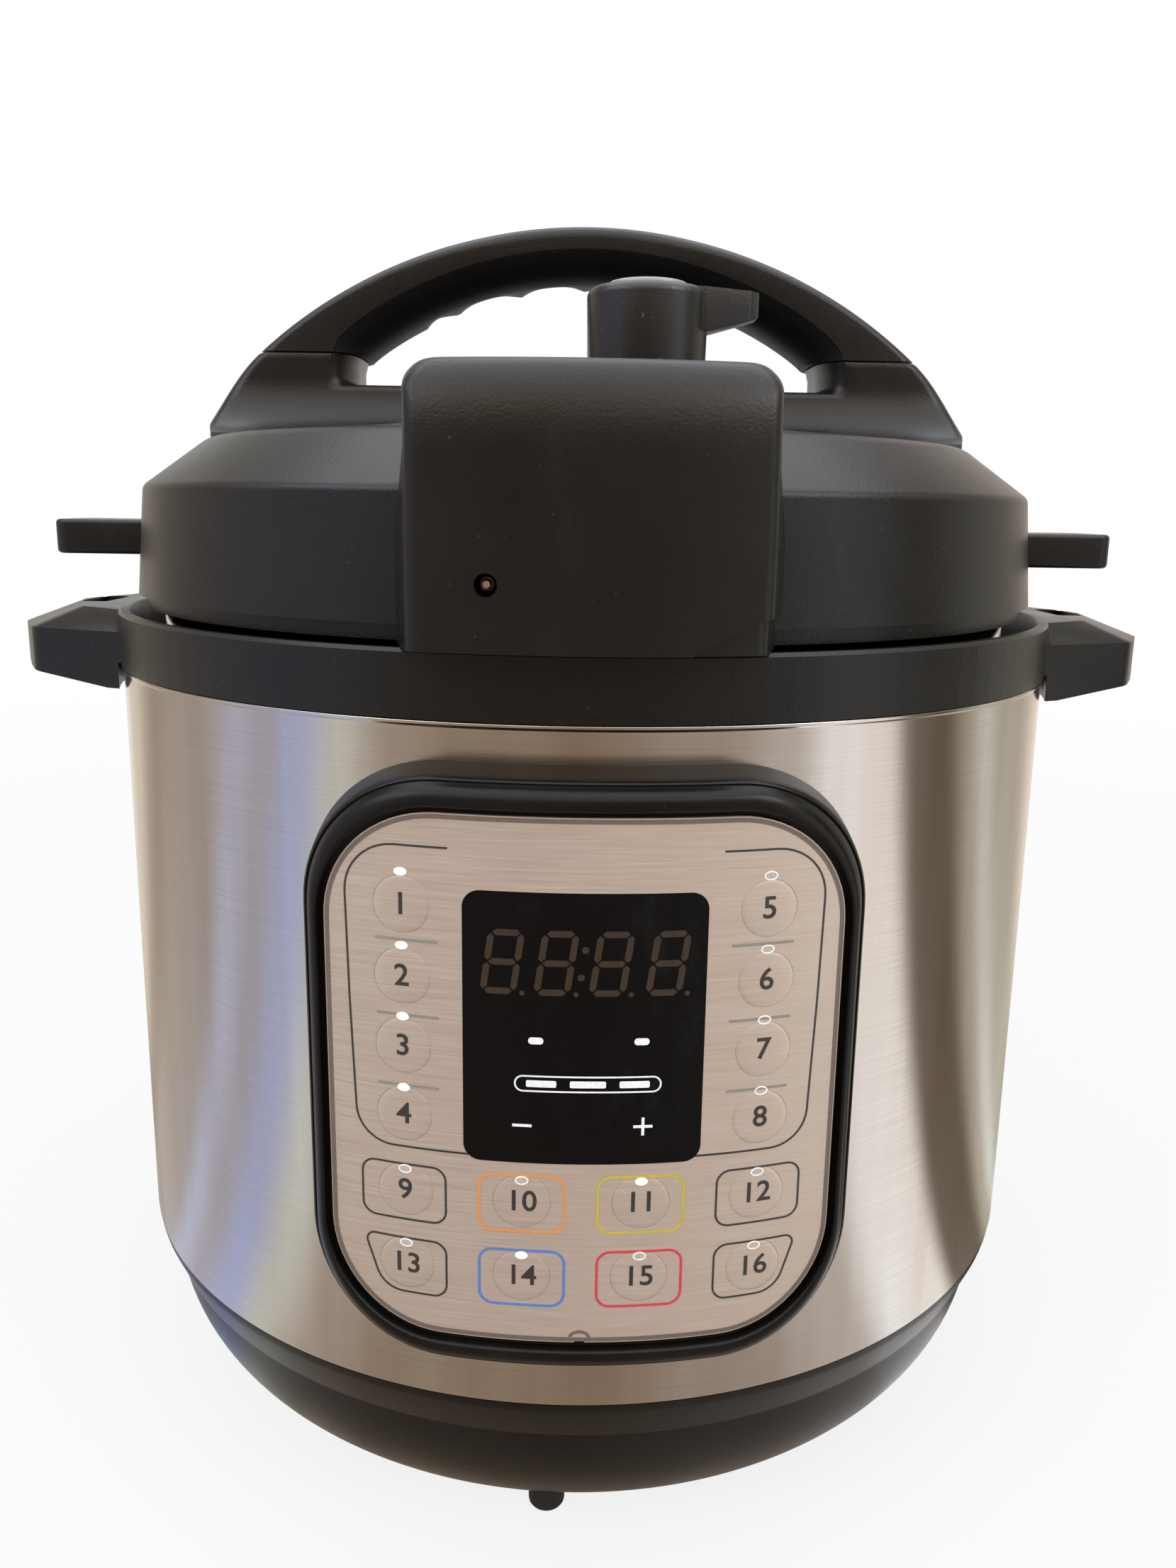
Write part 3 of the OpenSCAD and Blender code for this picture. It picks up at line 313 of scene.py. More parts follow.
def roundedPath(points, closed=True, steps=6):
    # a third number on a point is the radius of its corner
    path = []
    last = len(points) - 1
    for index, point in enumerate(points):
        here = Vector(point[:2])
        if len(point) < 3 or point[2] <= 0 or (not closed and index in (0, last)):
            path.append(here)
            continue
        back = Vector(points[index - 1][:2]) - here
        ahead = Vector(points[(index + 1) % len(points)][:2]) - here
        half = back.angle(ahead) / 2
        reach = min(point[2] / math.tan(half), 0.5 * back.length, 0.5 * ahead.length)
        radius = reach * math.tan(half)
        centre = here + (back.normalized() + ahead.normalized()).normalized() * radius / math.sin(half)
        first = here + back.normalized() * reach - centre
        final = here + ahead.normalized() * reach - centre
        sweep = first.angle_signed(final)
        for step in range(steps + 1):
            turn = Matrix.Rotation(-sweep * step / steps, 2)
            path.append(centre + turn @ first)
    return path


def roundedBox(halfWidth, height, radius, middle=(0, 0), steps=8):
    x, z = middle
    low, high = z - height / 2, z + height / 2
    return roundedPath([(x - halfWidth, low, radius), (x + halfWidth, low, radius),
                        (x + halfWidth, high, radius), (x - halfWidth, high, radius)], True, steps)


def offsetPath(path, distance, closed):
    shifted = []
    count = len(path)
    for index, here in enumerate(path):
        before = path[index - 1] if closed or index else here
        after = path[(index + 1) % count] if closed or index < count - 1 else here
        along = (after - before).normalized()
        shifted.append(here + Vector((-along.y, along.x)) * distance)
    return shifted


def finerPath(path, longest, closed):
    path = [Vector(point) for point in path]
    finer = []
    count = len(path)
    for index in range(count if closed else count - 1):
        start, end = path[index], path[(index + 1) % count]
        pieces = max(1, math.ceil((end - start).length / longest))
        finer += [start.lerp(end, piece / pieces) for piece in range(pieces)]
    return finer if closed else finer + [path[-1]]


def splitLong(path, longest, pieces):
    # cuts only the long sides of a closed path
    finer = []
    for start, end in zip(path, path[1:] + path[:1]):
        count = pieces if (end - start).length > longest else 1
        finer += [start.lerp(end, piece / count) for piece in range(count)]
    return finer


def chain(bm, path, closed=True):
    verts = [bm.verts.new((x, 0, z)) for x, z in path]
    edges = [bm.edges.new(pair) for pair in zip(verts, verts[1:])]
    if closed:
        edges.append(bm.edges.new((verts[-1], verts[0])))
    return verts, edges


def turned(bm, degrees, axis):
    turn = Matrix.Rotation(math.radians(degrees), 3, axis)
    bmesh.ops.rotate(bm, verts=bm.verts, cent=(0, 0, 0), matrix=turn)
    return bm


def moved(bm, x=0.0, y=0.0, z=0.0):
    bmesh.ops.translate(bm, vec=(x, y, z), verts=bm.verts)
    return bm


def spun(path, closed=True, steps=180):
    # turns a profile in X and Z about the Z axis
    bm = bmesh.new()
    verts, edges = chain(bm, path, closed)
    bmesh.ops.spin(bm, geom=verts + edges, cent=(0, 0, 0), axis=(0, 0, 1), dvec=(0, 0, 0),
                   angle=math.radians(360), steps=steps, use_merge=True, use_duplicate=False)
    tidyMesh(bm)
    return bm


def tidyMesh(bm):
    bmesh.ops.remove_doubles(bm, verts=bm.verts, dist=0.002)
    bmesh.ops.recalc_face_normals(bm, faces=bm.faces)


def extruded(bm, way):
    made = bmesh.ops.extrude_face_region(bm, geom=bm.faces[:])
    top = [part for part in made["geom"] if isinstance(part, bmesh.types.BMVert)]
    bmesh.ops.translate(bm, vec=way, verts=top)
    return bm


def prism(path, low, high, plane="XY"):
    # an outline made solid along the axis that its plane leaves out
    bm = bmesh.new()
    bm.faces.new([bm.verts.new((x, y, low)) for x, y in path])
    extruded(bm, (0, 0, high - low))
    if plane == "XZ":
        upright = Matrix(((1, 0, 0), (0, 0, 1), (0, 1, 0)))
        bmesh.ops.transform(bm, matrix=upright.to_4x4(), verts=bm.verts)
    bmesh.ops.recalc_face_normals(bm, faces=bm.faces)
    return bm


def rod(radius, low, high, x=0.0, y=0.0, sides=48):
    bm = bmesh.new()
    bmesh.ops.create_cone(bm, cap_ends=True, segments=sides, radius1=radius, radius2=radius,
                          depth=high - low)
    return moved(bm, x, y, (low + high) / 2)


def roundEdges(bm, width, angle, segments=2, where=None):
    limit = math.radians(angle)
    sharp = [edge for edge in bm.edges if len(edge.link_faces) == 2 and edge.calc_face_angle(0) > limit
             and (where is None or where((edge.verts[0].co + edge.verts[1].co) / 2))]
    bmesh.ops.bevel(bm, geom=sharp, offset=width, offset_type="OFFSET", segments=segments, profile=0.5,
                    affect="EDGES", clamp_overlap=True, material=-1)
    return bm


def merged(bm, *others):
    for other in others:
        mesh = bpy.data.meshes.new("part")
        other.to_mesh(mesh)
        other.free()
        bm.from_mesh(mesh)
        bpy.data.meshes.remove(mesh)
    return bm


def looseObject(bm):
    mesh = bpy.data.meshes.new("loose")
    bm.to_mesh(mesh)
    bm.free()
    return link(bpy.data.objects.new("loose", mesh))


def cut(bm, *tools, how="DIFFERENCE"):
    # each tool works on what the ones before it left
    weld = 0.004
    target = looseObject(bm)
    others = [looseObject(tool) for tool in tools]
    for other in others:
        step = target.modifiers.new("cut", "BOOLEAN")
        step.operation = how
        step.solver = "EXACT"
        step.object = other
    seen = target.evaluated_get(bpy.context.evaluated_depsgraph_get())
    result = bmesh.new()
    result.from_mesh(bpy.data.meshes.new_from_object(seen))
    for other in [target] + others:
        mesh = other.data
        bpy.data.objects.remove(other)
        bpy.data.meshes.remove(mesh)
    bmesh.ops.remove_doubles(result, verts=result.verts, dist=weld)
    bmesh.ops.dissolve_degenerate(result, edges=result.edges, dist=weld)
    bmesh.ops.recalc_face_normals(result, faces=result.faces)
    return result


def baked(bm, name, material):
    # from millimetres to a placed object in metres
    bmesh.ops.scale(bm, vec=(0.001, 0.001, 0.001), verts=bm.verts)
    mesh = bpy.data.meshes.new(name)
    bm.to_mesh(mesh)
    bm.free()
    mesh.materials.append(material)
    return link(bpy.data.objects.new(name, mesh))


madeHere = set()


def finished(bm, name, slotName, body, hides=(), ink=None, sharp=32.0):
    piece = baked(bm, name, inks[ink] if ink else looks[slotName])
    piece.data.shade_smooth()
    piece.data.set_sharp_from_angle(angle=math.radians(sharp))
    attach(piece, body)
    if hides:
        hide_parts(*hides)


def cadCopy(node):
    # the node's own shape in millimetres, merged
    bm = bmesh.new()
    bm.from_mesh(frame["nodes"][node].data)
    bmesh.ops.scale(bm, vec=(1000, 1000, 1000), verts=bm.verts)
    tidyMesh(bm)
    bmesh.ops.dissolve_limit(bm, angle_limit=math.radians(0.6), verts=bm.verts, edges=bm.edges)
    return bm


def dressed(bm, node, sharp=32.0, ink=None):
    # a made shape that stands in for a node
    finished(bm, node + "_dressed", slotOf[node], bodyOf[node], [node], ink, sharp)
    madeHere.add(node)


def swept(sections, closed=False):
    # bridges one closed loop of points to the next, and caps the ends
    bm = bmesh.new()
    rings = []
    for section in sections:
        verts = [bm.verts.new(point) for point in section]
        rings.append([bm.edges.new(pair) for pair in zip(verts, verts[1:] + verts[:1])])
    for first, second in zip(rings, rings[1:]):
        bmesh.ops.bridge_loops(bm, edges=first + second)
    if closed:
        bmesh.ops.bridge_loops(bm, edges=rings[-1] + rings[0])
    else:
        bmesh.ops.contextual_create(bm, geom=rings[0])
        bmesh.ops.contextual_create(bm, geom=rings[-1])
    bmesh.ops.recalc_face_normals(bm, faces=bm.faces)
    return bm


def ontoCylinder(path, radius):
    return [Vector((x, -math.sqrt(radius * radius - x * x), z)) for x, z in path]


def turnedTo(bm, degrees, z):
    # from standing on the axis to pointing out of the front, at an angle round the cooker
    return turned(moved(turned(bm, 90, "X"), z=z), degrees, "Z")


def bezier(first, control, last, steps=12):
    first, control, last = Vector(first), Vector(control), Vector(last)
    shares = [step / steps for step in range(steps + 1)]
    return [first.lerp(control, share).lerp(control.lerp(last, share), share) for share in shares]


def arcPath(middle, radius, fromAngle, toAngle, steps):
    turns = [math.radians(fromAngle + (toAngle - fromAngle) * step / steps) for step in range(steps + 1)]
    return [Vector(middle) + Vector((math.cos(turn), math.sin(turn))) * radius for turn in turns]


# Control panel: bezel, plate, window, keys and their print, on a cylinder round the axis

panel = {"faceR": 143, "middle": 133.5, "half": 60, "height": 132, "round": 30,
         "plateInset": 6, "plateHeight": 116, "keyR": 6.04, "keyGap": 0.05, "keyRise": 0.16, "stemR": 2,
         "stemEnd": 136.5, "sideAngle": 15.1, "lowAngle": 5.0, "sideRows": (172, 156.7, 141.4, 126.1),
         "lowRows": (108.6, 91.2), "plusRow": 126, "windowHalf": 24.6, "windowMiddle": 146.8,
         "windowHeight": 58.5, "windowGap": 0.12, "inkRaise": 0.07, "fineLine": 0.42, "boxLine": 0.55}
# inset from the outline and radius from the axis, from the sleeve out and in again to the plate
bezelSection = ((7.4, 126.3), (7.4, 131.2), (0.05, 131.1), (0.25, 134), (0.75, 139), (1.05, 141.2),
                (1.3, 141.75), (1.6, 141.9), (1.8, 141.7), (2.0, 141.9), (2.25, 142.9), (2.6, 143.7),
                (3.05, 144.3), (3.55, 144.65), (4.05, 144.75), (4.4, 144.65), (4.6, 144.3), (4.65, 143.6),
                (4.7, 142.1), (5.0, 141.97), (9.0, 141.95), (9.0, 126.3))
printing = {"dividerRows": (164.5, 148.2, 132.6), "dividerAngles": (12.0, 17.4), "dividerWide": 0.55,
            "frame": ((11.1, 184.4), (20.2, 184.4, 14), (19.9, 151, 0), (19.4, 118.6, 8), (9.45, 118.6)),
            "boxHalf": 9.0, "outerHalf": 9.1, "outerShift": 0.4, "boxBelow": 7.0, "boxAbove": 5.9,
            "boxRound": 2.9, "borderIn": 0.75, "borderWide": 0.95, "numberSize": 6.6, "signLong": 4,
            "signThin": 0.6, "lightRows": (178.9, 163.3, 147.9, 132.1), "lightUp": 4.9, "lit": (3, 6)}
# ink, row by row, of the boxes round the lower keys
boxInks = (("dark", "orange", "yellow", "dark"), ("dark", "blue", "red", "dark"))
display = {"digits": (-16.6, -5.7, 5.4, 16.8), "middleZ": 161.5, "height": 12.4, "width": 6.1,
           "thick": 1.35, "lean": 0.14, "pointX": 4.0, "pointZ": 155.0, "colonX": -0.3,
           "colonRows": (158.6, 164.4), "dashAngles": (-3.9, 4.75), "dashZ": 144.8,
           "boxAngles": (-5.6, 6.4), "boxZ": 135.4, "boxDashes": ((0.18, 3.1), (0.5, 3.7), (0.82, 3.1)),
           "lift": 0.05}
keyGroups = (("left", 4), ("right", 4), ("low", 8))
numberedKeys = ["key_%s_%d" % (group, row + 1) for group, count in keyGroups for row in range(count)]
windowKeys = ("key_minus", "key_plus")


def atAngle(degrees):
    return panel["faceR"] * math.sin(math.radians(degrees))


def laidRound(bm, radius, cutEvery=None):
    if cutEvery:
        reach = max(abs(vert.co.x) for vert in bm.verts)
        count = math.ceil(reach / cutEvery)
        for step in range(-count, count + 1):
            geometry = bm.verts[:] + bm.edges[:] + bm.faces[:]
            bmesh.ops.bisect_plane(bm, geom=geometry, dist=0.001, plane_co=(step * cutEvery, 0, 0),
                                   plane_no=(1, 0, 0))
    for vert in bm.verts:
        angle = math.asin(vert.co.x / panel["faceR"])
        out = radius - vert.co.y
        vert.co = Vector((out * math.sin(angle), -out * math.cos(angle), vert.co.z))
    bmesh.ops.recalc_face_normals(bm, faces=bm.faces)
    return bm


def filled(path, thick):
    bm = bmesh.new()
    bm.faces.new([bm.verts.new((x, 0, z)) for x, z in path])
    return extruded(bm, (0, -thick, 0))


def stroke(path, width, thick, closed=True):
    bm = bmesh.new()
    path = finerPath(path, 3, closed)
    sides = [chain(bm, offsetPath(path, shift, closed), closed)[1] for shift in (-width / 2, width / 2)]
    bmesh.ops.bridge_loops(bm, edges=sides[0] + sides[1])
    return extruded(bm, (0, -thick, 0))


def numeral(words, size, x, z, thick):
    data = bpy.data.curves.new("numeral", "FONT")
    data.body = words
    data.size = size
    data.align_x = "CENTER"
    data.align_y = "CENTER"
    data.resolution_u = 4
    data.offset = 0.012 * size
    words = link(bpy.data.objects.new("numeral", data))
    seen = words.evaluated_get(bpy.context.evaluated_depsgraph_get())
    mesh = bpy.data.meshes.new_from_object(seen)
    bm = bmesh.new()
    bm.from_mesh(mesh)
    bpy.data.objects.remove(words)
    bpy.data.meshes.remove(mesh)
    bmesh.ops.remove_doubles(bm, verts=bm.verts, dist=0.001)
    return extruded(moved(turned(bm, 90, "X"), x, 0, z), (0, -thick, 0))


def panelInk(parts, name, ink, slotName="champagne_panel", lift=0.0, body="base"):
    bm = merged(bmesh.new(), *parts)
    finished(laidRound(bm, panel["faceR"] + lift - 0.05, 1.6), name, slotName, body, (), ink)


def digitBars(x, z):
    # the seven bars of one digit, each a thin six-sided shape
    half, wide, thick = display["height"] / 2, display["width"] / 2, display["thick"] / 2
    ends = (((-wide, half), (wide, half)), ((-wide, 0), (wide, 0)), ((-wide, -half), (wide, -half)),
            ((-wide, 0), (-wide, half)), ((wide, 0), (wide, half)), ((-wide, -half), (-wide, 0)),
            ((wide, -half), (wide, 0)))
    bars = []
    for start, end in ends:
        start, end = Vector(start), Vector(end)
        along = (end - start).normalized()
        side, tip = Vector((-along.y, along.x)) * thick, along * thick
        start, end = start + along * 0.25, end - along * 0.25
        shape = [start, start + tip - side, end - tip - side, end, end - tip + side, start + tip + side]
        bars.append(filled([(x + point.x + point.y * display["lean"], z + point.y) for point in shape], 0.1))
    return bars


def dotPath(x, z, halfWidth, halfHeight, sides=20):
    turns = [2 * math.pi * step / sides for step in range(sides)]
    return [Vector((x + halfWidth * math.cos(turn), z + halfHeight * math.sin(turn))) for turn in turns]


def addBezel():
    sections = []
    for inset, radius in bezelSection:
        grow = 2 * min(1, max(0, (inset - 2) / 2.6))
        box = roundedBox(panel["half"] - inset, panel["height"] - 2 * (inset + grow), panel["round"] - inset,
                         (0, panel["middle"]), 18)
        path = splitLong(box, 1.5 * (panel["half"] - panel["round"]), 20)
        sections.append(ontoCylinder(path, radius))
    dressed(swept(sections, True), "panel_bezel", 50, "bezel")


def keySpots():
    side, low = panel["sideAngle"], panel["lowAngle"]
    spots = {}
    for row, z in enumerate(panel["sideRows"]):
        spots["key_left_%d" % (row + 1)] = (-side, z)
        spots["key_right_%d" % (row + 1)] = (side, z)
    lowSpots = [(angle, z) for z in panel["lowRows"] for angle in (-side, -low, low, side)]
    for index, spot in enumerate(lowSpots):
        spots["key_low_%d" % (index + 1)] = spot
    for name, angle in zip(windowKeys, (-low, low)):
        spots[name] = (angle, panel["plusRow"])
    return spots


def keyHole(angle, z, radius):
    x = atAngle(angle)
    return prism(dotPath(x, z, radius * math.cos(math.radians(angle)), radius, 48), -2, 3, "XZ")


def addPlates():
    inset = panel["plateInset"]
    hole = panel["keyR"] + panel["keyGap"]
    spots = keySpots()
    outline = roundedBox(panel["half"] - inset, panel["plateHeight"], panel["round"] - inset,
                         (0, panel["middle"]), 16)
    gap = panel["windowGap"]
    window = roundedBox(panel["windowHalf"] + gap, panel["windowHeight"] + 2 * gap, 3.6,
                        (0, panel["windowMiddle"]), 8)
    lowEdge = panel["middle"] - panel["plateHeight"] / 2
    tools = [prism(window, -2, 3, "XZ"), prism(dotPath(0, lowEdge, 1.1, 1.1, 24), -2, 3, "XZ")]
    tools += [keyHole(*spot, hole) for name, spot in spots.items() if name not in windowKeys]
    plate = cut(prism(outline, 0, 1, "XZ"), *tools)
    roundEdges(plate, 0.05, 40, 1, lambda middle: middle.y < 0.5)
    dressed(laidRound(plate, panel["faceR"], 3), "panel_plate", 40)
    film = prism(roundedBox(panel["windowHalf"], panel["windowHeight"], 3.5, (0, panel["windowMiddle"]), 8),
                 -0.08, 1, "XZ")
    film = cut(film, *[keyHole(*spots[name], panel["keyR"] + 0.03) for name in windowKeys])
    dressed(laidRound(film, panel["faceR"], 3), "display_window", 40)
    out, radius, rise = panel["faceR"], panel["keyR"], panel["keyRise"]
    for name, (angle, z) in spots.items():
        section = [(radius, out - 0.05), (radius - 0.05, out), (radius - 0.9, out + 0.02),
                   (radius - 1.5, out + rise * 0.7), (radius - 2.4, out + rise), (0, out + rise)]
        if name in windowKeys:
            section = [(radius, out + 0.04), (radius - 0.1, out + 0.08), (0, out + 0.08)]
        section = [(0, out - 1.2), (radius, out - 1.2)] + section
        cap = spun(section, False, 48)
        stem = rod(panel["stemR"], panel["stemEnd"], out - 1.1, sides=24)
        dressed(turnedTo(merged(cap, stem), angle, z), name, 50)


def addPrint():
    thick = panel["inkRaise"] + 0.05
    fine = panel["fineLine"]
    dividers = []
    frames = []
    for sign in (-1, 1):
        ends = sorted(atAngle(sign * angle) for angle in printing["dividerAngles"])
        for z in printing["dividerRows"]:
            dividers.append(stroke([(x, z) for x in ends], printing["dividerWide"], thick, False))
        line = [(sign * atAngle(angle), *rest) for angle, *rest in printing["frame"]]
        frames.append(stroke(roundedPath(line, False, 10), fine, thick, False))
    panelInk(dividers, "key_dividers", "divider")
    colours = {"dark": frames, "orange": [], "yellow": [], "blue": [], "red": []}
    side, low = atAngle(panel["sideAngle"]) + printing["outerShift"], atAngle(panel["lowAngle"])
    for row, z in enumerate(panel["lowRows"]):
        z0, z1 = z - printing["boxBelow"], z + printing["boxAbove"]
        for column, x in enumerate((-side, -low, low, side)):
            outer = column in (0, 3)
            ink = boxInks[row][column]
            half, curve = printing["outerHalf" if outer else "boxHalf"], printing["boxRound"]
            corners = [[x - half, z0, curve], [x + half, z0, curve], [x + half, z1, curve],
                       [x - half, z1, curve]]
            if outer and row:
                lower, upper, out = (0, 3, -1) if column == 0 else (1, 2, 1)
                corners[lower] = [x + out * (half - 4.2), z0, 6]
                corners[upper][2] = 1.8
            path = roundedPath(corners, True, 8)
            colours[ink].append(stroke(path, fine if ink == "dark" else panel["boxLine"], thick))
    for name, parts in colours.items():
        panelInk(parts, "key_boxes_" + name, name)
    # a darker strip painted just inside the plate's edge, where its bevel dips, and a ring round the notch:
    # painted shade
    inset = panel["plateInset"] + printing["borderIn"]
    border = roundedBox(panel["half"] - inset, panel["height"] - 2 * inset - 4, panel["round"] - inset,
                        (0, panel["middle"]), 16)
    panelInk([stroke(border, printing["borderWide"], 0.09)], "plate_border", "bevelShade")
    lowEdge = panel["middle"] - panel["plateHeight"] / 2
    turns = [math.pi * step / 14 for step in range(15)]
    notch = [(2.1 * math.cos(turn), lowEdge + 1.0 + 1.6 * math.sin(turn)) for turn in turns]
    panelInk([stroke(notch, 0.7, 0.1, False)], "notch_ring", "bevelShade")


def addKeyNumbers():
    spots = keySpots()
    for count, name in enumerate(numberedKeys):
        angle, z = spots[name]
        bm = numeral(str(count + 1), printing["numberSize"], atAngle(angle), z, 0.12)
        finished(laidRound(bm, panel["faceR"] + panel["keyRise"] - 0.06), name + "_number", slotOf[name],
                 bodyOf[name], (), "dark")
    long, thin = printing["signLong"], printing["signThin"]
    for name in windowKeys:
        middle = (atAngle(spots[name][0]), spots[name][1])
        bars = [filled(roundedBox(long / 2, thin, 0, middle), 0.1)]
        if name == "key_plus":
            bars.append(filled(roundedBox(thin / 2, long, 0, middle), 0.1))
        finished(laidRound(merged(bmesh.new(), *bars), panel["faceR"] + 0.05), name + "_mark", slotOf[name],
                 bodyOf[name], (), "white")


def addKeyLights():
    # a small light by each key: glowing ones are solid, the others a clear dot in a rim that glows faintly, a
    # painted glow
    spots = keySpots()
    rows = printing["lightRows"]
    lights = [(sign * panel["sideAngle"], z, sign < 0, "base") for sign in (-1, 1) for z in rows]
    for count in range(1, 9):
        owner = "key_low_%d" % count
        angle, z = spots[owner]
        lights.append((angle, z + printing["lightUp"], count in printing["lit"], owner))
    groups = {}
    for angle, z, glowing, owner in lights:
        x = atAngle(angle)
        group = groups.setdefault(owner, {"ledOn": [], "ledOff": [], "ledRimPaintedGlow": []})
        if glowing:
            group["ledOn"].append(filled(dotPath(x, z, 1.35, 0.9), 0.16))
        else:
            group["ledOff"].append(filled(dotPath(x, z, 1.2, 0.75), 0.1))
            group["ledRimPaintedGlow"].append(stroke(dotPath(x, z, 1.3, 0.85), 0.28, 0.14))
    for owner, group in groups.items():
        body, lift = ("base", 0.0) if owner == "base" else (bodyOf[owner], 0.13)
        for ink, parts in group.items():
            if parts:
                panelInk(parts, owner + "_light_" + ink, ink, lift=lift, body=body)


def addDisplay():
    lean, lift, middleZ = display["lean"], display["lift"], display["middleZ"]
    ghosts = []
    for x in display["digits"]:
        ghosts += digitBars(x, middleZ)
        ghosts.append(filled(dotPath(x + display["pointX"], display["pointZ"], 0.55, 0.55, 12), 0.1))
    for z in display["colonRows"]:
        ghosts.append(filled(dotPath(display["colonX"] + (z - middleZ) * lean, z, 0.75, 0.75, 12), 0.1))
    # the unlit segments glow faintly through their ink: painted light
    panelInk(ghosts, "display_digits", "segment", "display_black", lift)
    marks = [filled(roundedBox(1.55, 1.5, 0.7, (atAngle(angle), display["dashZ"]), 4), 0.1)
             for angle in display["dashAngles"]]
    left, right = [atAngle(angle) for angle in display["boxAngles"]]
    box = roundedBox((right - left) / 2, 3.3, 1.6, ((left + right) / 2, display["boxZ"]), 6)
    marks.append(stroke(box, 0.35, 0.1))
    for share, half in display["boxDashes"]:
        x = left + (right - left) * share
        marks.append(filled(roundedBox(half, 1.5, 0.3, (x, display["boxZ"]), 2), 0.1))
    # these white marks glow faintly: painted light
    panelInk(marks, "display_marks", "white", "display_black", lift)


addBezel()
addPlates()
addPrint()
addKeyNumbers()
addKeyLights()
addDisplay()
print("control panel made")


# Lid cover: a domed cap with the two fins and the feet of the handle

lid = {"skirtR": 126, "skirtZ": 226.4, "shoulderR": 123.5, "shoulderZ": 254.2, "crownR": 106,
       "crownZ": 267.4, "middleZ": 272.2, "wall": 2.5, "lipDrop": 3.5, "finReach": 152, "finHalf": 14,
       "finZ": 235.2, "finThick": 9.6, "knobX": 12.4, "knobY": -84, "floatX": -20,
       "pinZ": 235.8, "knobHole": 5.2, "floatHole": 4.5}
arch = {"outerR": 137.3, "outerZ": 186.8, "creaseR": 112.5, "creaseZ": 205.0, "gripR": 105.5,
        "legR": 45, "legX": 60.5, "legZ": 256.5, "seamZ": 290.5, "half": 20, "flare": 16, "edge": 4,
        "steps": 110, "curlFrom": 55, "curlX": 69.2, "curlZ": 295.1, "waveShift": 6, "waveReach": 22.5,
        "wavePitch": 11, "waveDeep": 2.3}
opening = {"half": 65, "lowZ": 282.2, "round": 7, "sideZ": 287.5, "topHalf": 61.6, "topZ": 300,
           "flareDeep": 16, "flareWide": 7, "edge": 1.7,
           "depths": (18, 15, 12, 9, 6.5, 4.5, 3, 1.8, 0.9, 0.3, -0.2, -40)}


def lidSkin(grow):
    return [(lid["skirtR"] + grow, lid["skirtZ"], 2.2), (lid["shoulderR"] + grow, lid["shoulderZ"], 3),
            (lid["crownR"] + grow / 2, lid["crownZ"] - 0.3 + grow, 9),
            (60, lid["crownZ"] + 3.9 + grow, 60), (0, lid["middleZ"] + grow)]


def solidLid(grow):
    low = lid["skirtZ"] - 6
    path = [(0, low), (lid["skirtR"] + grow, low)] + roundedPath(lidSkin(grow), False, 6)
    return spun(path, False, 120)


def flareAt(z):
    # half depth of the handle's foot, which widens onto the lid
    centre = lid["crownZ"] + 0.8 + arch["flare"]
    if z >= centre:
        return arch["half"]
    drop = min(centre - z, arch["flare"])
    return arch["half"] + arch["flare"] - math.sqrt(arch["flare"] ** 2 - drop ** 2)


def footHeights():
    low, seam = lid["crownZ"] - 3, arch["seamZ"] - 0.15
    heights = [low + (seam - 0.5 - low) * step / 20 for step in range(21)]
    return heights + [seam - 0.25, seam]


def footLoop(z):
    # outline of the handle's foot, with the same number of points at each height
    easing = 0.35 * max(0, min(1, (z - arch["seamZ"] + 0.6) / 0.5))
    out = arch["legX"] + math.sqrt(arch["legR"] ** 2 - (z - arch["legZ"]) ** 2) - easing
    box = roundedBox(out, 2 * (flareAt(z) - easing), arch["edge"], steps=6)
    limit = lid["crownR"] - 0.4
    return [Vector((*(point * min(1, limit / point.length)), z)) for point in splitLong(box, 24, 24)]


def roundIn(depth, radius):
    # how far a rounded edge has drawn in at a depth below the face
    share = 1 - max(0.0, min(1.0, depth / radius))
    return 1 - math.sqrt(1 - share * share)


def openingTool():
    # hole for the hand, wider at its ends so that the edges come out rounded
    sections = []
    half, low, curve = opening["half"], opening["lowZ"], opening["round"]
    bend, top, topZ = opening["sideZ"], opening["topHalf"], opening["topZ"]
    path = roundedPath([(-half, low, curve), (half, low, curve), (half, bend), (top, topZ), (-top, topZ),
                        (-half, bend)], True, 8)
    for side, order in ((-1, reversed(opening["depths"])), (1, opening["depths"])):
        for depth in order:
            across = roundIn(depth, opening["flareDeep"]) * opening["flareWide"]
            along = roundIn(depth, opening["edge"]) * opening["edge"]
            y = side * (arch["half"] - depth)
            sections.append([Vector((x + math.copysign(across, x) * min(1, abs(x) / 30), y, z - along))
                             for x, z in path])
    return swept(sections)


def finPrism(degrees):
    reach, half = lid["finReach"], lid["finHalf"]
    bm = prism(roundedPath([(112, -half), (reach, -half, 4), (reach, half, 4), (112, half)], True, 8),
               lid["finZ"], lid["finZ"] + lid["finThick"])
    return turned(roundEdges(bm, 1.1, 60, 3), degrees, "Z")


def valveHoles(knobHole, low, high):
    return [rod(knobHole, low, high, lid["knobX"], lid["knobY"]),
            rod(lid["floatHole"], low, high, lid["floatX"], lid["knobY"])]


